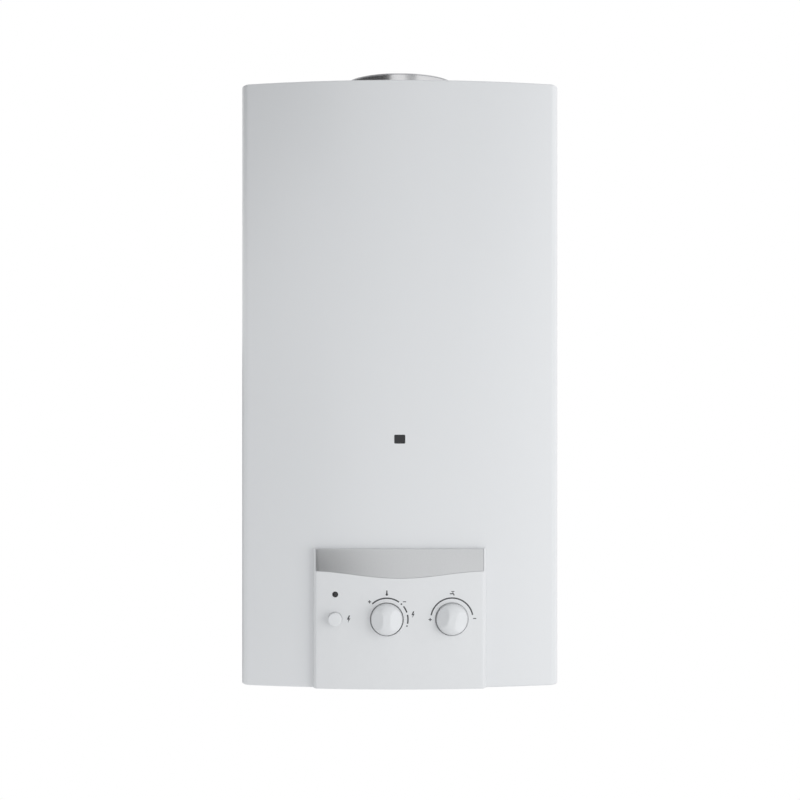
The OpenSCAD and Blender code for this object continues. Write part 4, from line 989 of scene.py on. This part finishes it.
# %% Screws
HEAD_R = 4 * MM
HEAD_H = 3 * MM
SHANK_R = 2 * MM
SHANK_LEN = 9.3 * MM
CHEESE_R = 3.5 * MM
CHEESE_H = 4 * MM
CROSS_LONG = 1.15
CROSS_WIDE = 0.24
SCREW_ROUND = 40
PAN = ((1, 0), (1, 0.45), (0.93, 0.66), (0.78, 0.84), (0.5, 0.96), (0, 1))
CHEESE = ((1, 0), (1, 0.86), (0.95, 0.96), (0.87, 1), (0, 1))


def screw(radius, height, form, stem_r=0, stem=0):
    """A screw head on z = 0 with a cross recess, over a stem if one is given."""
    bm = bmesh.new()
    foot = [(0, -stem), (stem_r, -stem), (stem_r, 0)] if stem else [(0, 0)]
    lathe(bm, foot + [(radius * r, height * h) for r, h in form], SCREW_ROUND)
    piece = as_object(bm, "screw")
    for turn in (45, 135):
        bar = bmesh.new()
        size = Matrix.Diagonal((CROSS_LONG * radius, CROSS_WIDE * radius, height, 1))
        lean = Matrix.Rotation(math.radians(turn), 4, "Z")
        bmesh.ops.create_cube(bar, size=1, matrix=Matrix.Translation((0, 0, height)) @ lean @ size)
        carve(piece, as_object(bar, "cross_bar"))
    return piece


def facing(points, way, depth):
    """The place of a pattern whose foot lies depth behind the far side of a solid's box."""
    low, high = box_of(points)
    ahead = way @ Vector((0, 0, 1))
    middle = (low + high) / 2
    half = (high - low) / 2
    reach = sum(abs(ahead[i]) * half[i] for i in range(3))
    return Matrix.Translation(middle + ahead * (reach - depth)) @ way


for node in ("rail_screws", "bracket_screws"):
    pan = screw(HEAD_R, HEAD_H, PAN)
    copies = [(pan, facing(p, FRONT, HEAD_H)) for p in islands(node)]
    scatter(node.replace("screws", "screw_heads"), node, copies)
long_screw = screw(HEAD_R, HEAD_H, PAN, SHANK_R, SHANK_LEN)
scatter("cover_screw_heads", "cover_screws", [
    (long_screw, facing(p, RIGHT if p[0].x > 0 else LEFT, HEAD_H)) for p in islands("cover_screws")])
flush = screw(CHEESE_R, CHEESE_H, CHEESE)
scatter("valve_screw_heads", "valve_screws", [
    (flush, facing(p, RIGHT, CHEESE_H)) for p in islands("valve_screws")])

# %% [markdown]
# A nut is a hexagon whose corners a turned barrel takes off at both ends. Its width, length and bore
# are measured on the solid that it stands for, so every nut fits its own pipe.

# %% Nuts
FACE_SHARE = 0.48
TURN_SLOPE = 0.62
TURN_SPARE = 0.2 * MM
BARREL_ROUND = 60


def hexagon(width, length, bore):
    """A hexagon on z = 0 with a bore and with its corners turned off at both ends."""
    bm = bmesh.new()
    corner = width / math.sqrt(3)
    turn = Matrix.Rotation(math.radians(30), 4, "Z")
    bmesh.ops.create_circle(bm, cap_ends=True, segments=6, radius=corner,
                            matrix=Matrix.Translation((0, 0, -MM)) @ turn)
    lift(bm, bm.faces[:], (0, 0, length + 2 * MM))
    piece = as_object(bm, "hexagon")
    bm = bmesh.new()
    slope = (corner - width / 2) * TURN_SLOPE
    face_r = FACE_SHARE * width
    wide = corner + TURN_SPARE
    lathe(bm, [(bore, 0), (face_r, 0), (wide, slope), (wide, length - slope),
               (face_r, length), (bore, length), (bore, 0)], BARREL_ROUND)
    carve(piece, as_object(bm, "barrel"), "INTERSECT")
    return piece


def nut_for(points):
    """A nut made to a solid's box and bore, with its place."""
    low, high = box_of(points)
    size = high - low
    along = min(range(3), key=lambda i: size[i])
    across = [i for i in range(3) if i != along]
    middle = (low + high) / 2
    bore = min(math.hypot(*(p[i] - middle[i] for i in across)) for p in points)
    way = (RIGHT, FRONT, UP)[along]
    return hexagon(min(size[i] for i in across), size[along], bore), facing(points, way, size[along])


for node in ("union_nuts", "igniter_nut"):
    scatter(node.replace("_nut", "_hexagon"), node, [nut_for(p) for p in islands(node)])

# %% [markdown]
# The three fittings below the casing carry a pipe thread of 14 turns to the inch. A lathe cannot cut a
# helix, but the rule is short: on a finely ringed tube, the radius of each point depends on its height
# less its share of one turn. A cone at the end of the thread gives the lead for the nut.

# %% Fittings with a pipe thread
PITCH = 1.814 * MM
CREST_R = 10.48 * MM
ROOT_R = 9.32 * MM
THREAD_LEN = 14 * MM
HEX_LEN = 9 * MM
HEX_W = 30 * MM
NECK_R = 9 * MM
NECK_LEN = 13 * MM
BORE_R = 6 * MM
THREAD_ROWS = 108
TUBE_ROUND = 64
FLANK_SLOPE = 2.4
CREST_FLAT = 0.1
LEAD_STEP = 0.3 * MM
HEX_BITE = 0.3 * MM


def thread_radius(height, angle):
    """The radius of a thread at a height and an angle, with a lead cone at its lower end."""
    phase = (height / PITCH - angle / math.tau) % 1
    flank = min(1, max(0, FLANK_SLOPE * min(phase, 1 - phase) - CREST_FLAT))
    return min(CREST_R - (CREST_R - ROOT_R) * flank, ROOT_R - LEAD_STEP + height)


def fitting(node):
    """A fitting: a threaded tube with a blind bore, its hexagon and its neck."""
    low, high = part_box(node)
    hex_top = THREAD_LEN + HEX_LEN
    rows = [(CREST_R, THREAD_LEN * i / THREAD_ROWS) for i in range(THREAD_ROWS + 1)]
    bm = bmesh.new()
    lathe(bm, [(0, hex_top), (BORE_R, hex_top), (BORE_R, 0)] + rows + [
        (NECK_R, THREAD_LEN), (NECK_R, hex_top + NECK_LEN), (0, hex_top + NECK_LEN)], TUBE_ROUND)
    for v in bm.verts:
        away = math.hypot(v.co.x, v.co.y)
        if away > NECK_R + HAIR:
            share = thread_radius(v.co.z, math.atan2(v.co.y, v.co.x)) / away
            v.co.x *= share
            v.co.y *= share
    tube = as_object(bm, "threaded_tube")
    place = Matrix.Translation(((low.x + high.x) / 2, (low.y + high.y) / 2, low.z))
    collar = hexagon(HEX_W, HEX_LEN, NECK_R - HEX_BITE)
    scatter(node.replace("fitting", "union"), node, [
        (tube, place), (collar, place @ Matrix.Translation((0, 0, THREAD_LEN)))])


for node in ("cold_fitting", "gas_fitting", "hot_fitting"):
    fitting(node)

# %% [markdown]
# The room is white in the picture, but softer as a light. Seen straight, in a mirror or through glass it
# is pure white. For all other light it has a lower level, at which the enamel keeps its own shade.

# %% The white room
ROOM_LIGHT = (0.68, 0.692, 0.704)


def in_view(tree):
    """A node that gives 1 for what the camera sees, straight or in a mirror, and 0 for stray light."""
    path = add(tree, "LightPath")
    direct = add(tree, "Math", operation="MAXIMUM")
    seen = add(tree, "Math", operation="MAXIMUM")
    wire(tree, (path, "Is Camera Ray", direct, 0), (path, "Is Glossy Ray", direct, 1),
         (direct, 0, seen, 0), (path, "Is Transmission Ray", seen, 1))
    return seen


world = bpy.data.worlds.new("white_room")
world.use_nodes = True
bpy.context.scene.world = world
tree = world.node_tree
tree.nodes.clear()
room = add(tree, "Background", {"Color": (*ROOM_LIGHT, 1)})
white = add(tree, "Background", {"Color": (1, 1, 1, 1)})
either = add(tree, "MixShader")
output = add(tree, "OutputWorld")
wire(tree, (in_view(tree), 0, either, "Fac"), (room, 0, either, 1), (white, 0, either, 2),
     (either, 0, output, "Surface"))
bpy.context.scene.view_settings.view_transform = "Standard"
print("room light", ROOM_LIGHT)

# %% [markdown]
# A large soft lamp to the right shapes the bow from left to right, and a weak one on the left lifts the
# far edge. The large one is hidden from mirrors, so that no bright image of it lies on band and casing.

# %% Lamps
AIM = Vector((0, -120 * MM, -300 * MM))
KEY_WATTS = 40
KEY_PLACE = (54, 2.7, -0.5)
KEY_SIZE = (2.6, 2.4)
EDGE_WATTS = 7
EDGE_PLACE = (-88, 2.2, -0.5)
EDGE_SIZE = (1.8, 2.0)


def soft_lamp(name, place, size, watts):
    """A rectangular lamp that faces the heater."""
    lamp = bpy.data.lights.new(name, "AREA")
    lamp.shape = "RECTANGLE"
    lamp.size, lamp.size_y = size
    lamp.energy = watts
    obj = bpy.data.objects.new(name, lamp)
    obj.location = place
    obj.rotation_euler = (AIM - Vector(place)).to_track_quat("-Z", "Y").to_euler()
    bpy.context.scene.collection.objects.link(obj)
    return obj


def round_about(degrees, distance, height):
    """A place at an angle to the right of straight ahead."""
    turn = math.radians(degrees)
    return (distance * math.sin(turn), -distance * math.cos(turn), height)


key = soft_lamp("key_lamp", round_about(*KEY_PLACE), KEY_SIZE, KEY_WATTS)
key.visible_glossy = False
soft_lamp("edge_lamp", round_about(*EDGE_PLACE), EDGE_SIZE, EDGE_WATTS)
print("lamps of", KEY_WATTS, "and", EDGE_WATTS, "watts")

# %% [markdown]
# A white room leaves polished metal without form, so cards stand where the metal mirrors them: dark felt
# for the collar and the band, a grey board for the collar's right, and a pale board for the gloss on the
# casing's side. They act on mirrors alone. Only the flag close to the collar also takes light away.

# %% Cards
CARD_STEPS = 24
CARD_GRAIN = ("even", 30, (0.8, 0.9), 0.1)


def card(name, start, end, distance, low, high, paint):
    """A card that stands upright round the heater, between two angles and two heights."""
    bm = bmesh.new()
    foot = bm.verts.new(round_about(start, distance, low))
    head = run(bm, foot, round_about(start, distance, high))
    bmesh.ops.spin(bm, geom=[foot, head, foot.link_edges[0]], cent=(0, 0, 0), axis=(0, 0, 1),
                   angle=math.radians(end - start), steps=CARD_STEPS)
    obj = as_object(bm, name)
    obj.data.materials.append(paint)
    obj.visible_camera = False
    return obj


felt = dress("card_felt", (0.03, 0.03, 0.032), (0.022, 0.022, 0.024), *CARD_GRAIN)
board = dress("grey_board", (0.62, 0.62, 0.62), (0.58, 0.58, 0.58), *CARD_GRAIN)
pale_board = dress("pale_board", (0.76, 0.76, 0.76), (0.72, 0.72, 0.72), *CARD_GRAIN)
card("flag_card", -85, -16, 0.85, 0.12, 0.9, felt)
MIRROR_CARDS = (("collar_card", -118, -30, 2.6, 0.25, 2.6, felt),
                ("band_card", -165, -13, 2.6, -1.3, -0.1, felt),
                ("slim_card", 13, 33, 2.6, 0.3, 2.4, board),
                ("side_card", 60, 104, 2.4, -1.9, 0.36, pale_board))
for row in MIRROR_CARDS:
    card(*row).visible_diffuse = False
print("cards for mirrors alone:", len(MIRROR_CARDS))

# %% [markdown]
# The floor is a pale disc well below the heater. It takes the heater's shadow and fades into the white of
# the room toward its rim, so that no edge cuts through a picture taken from another side.

# %% Floor
FLOOR_Z = -2.4
FLOOR_R = 6.0
FLOOR_SIDES = 96
WHITE_BELOW = 0.4

bm = bmesh.new()
bmesh.ops.create_circle(bm, cap_ends=True, segments=FLOOR_SIDES, radius=FLOOR_R,
                        matrix=Matrix.Translation((0, 0, FLOOR_Z)))
floor = as_object(bm, "studio_floor")
floor_paint = dress("floor_paint", (0.86, 0.86, 0.86), (0.83, 0.83, 0.83), "even", 3, (0.6, 0.7), 0.1)
floor.data.materials.append(floor_paint)

tree = floor_paint.node_tree
away = add(tree, "VectorMath", operation="LENGTH")
fade = add(tree, "MapRange", {"From Min": -FLOOR_Z, "From Max": FLOOR_R, "To Min": WHITE_BELOW})
share = add(tree, "Math", operation="MULTIPLY")
seen = in_view(tree)
white = add(tree, "Emission")
blend = add(tree, "MixShader")
wire(tree, (tree.nodes["Texture Coordinate"], "Object", away, 0), (away, "Value", fade, "Value"),
     (fade, "Result", share, 0), (seen, 0, share, 1), (share, 0, blend, "Fac"),
     (tree.nodes["Principled BSDF"], 0, blend, 1), (white, 0, blend, 2),
     (blend, 0, tree.nodes["Material Output"], "Surface"))
print("floor at", FLOOR_Z, "fades to white at", FLOOR_R)
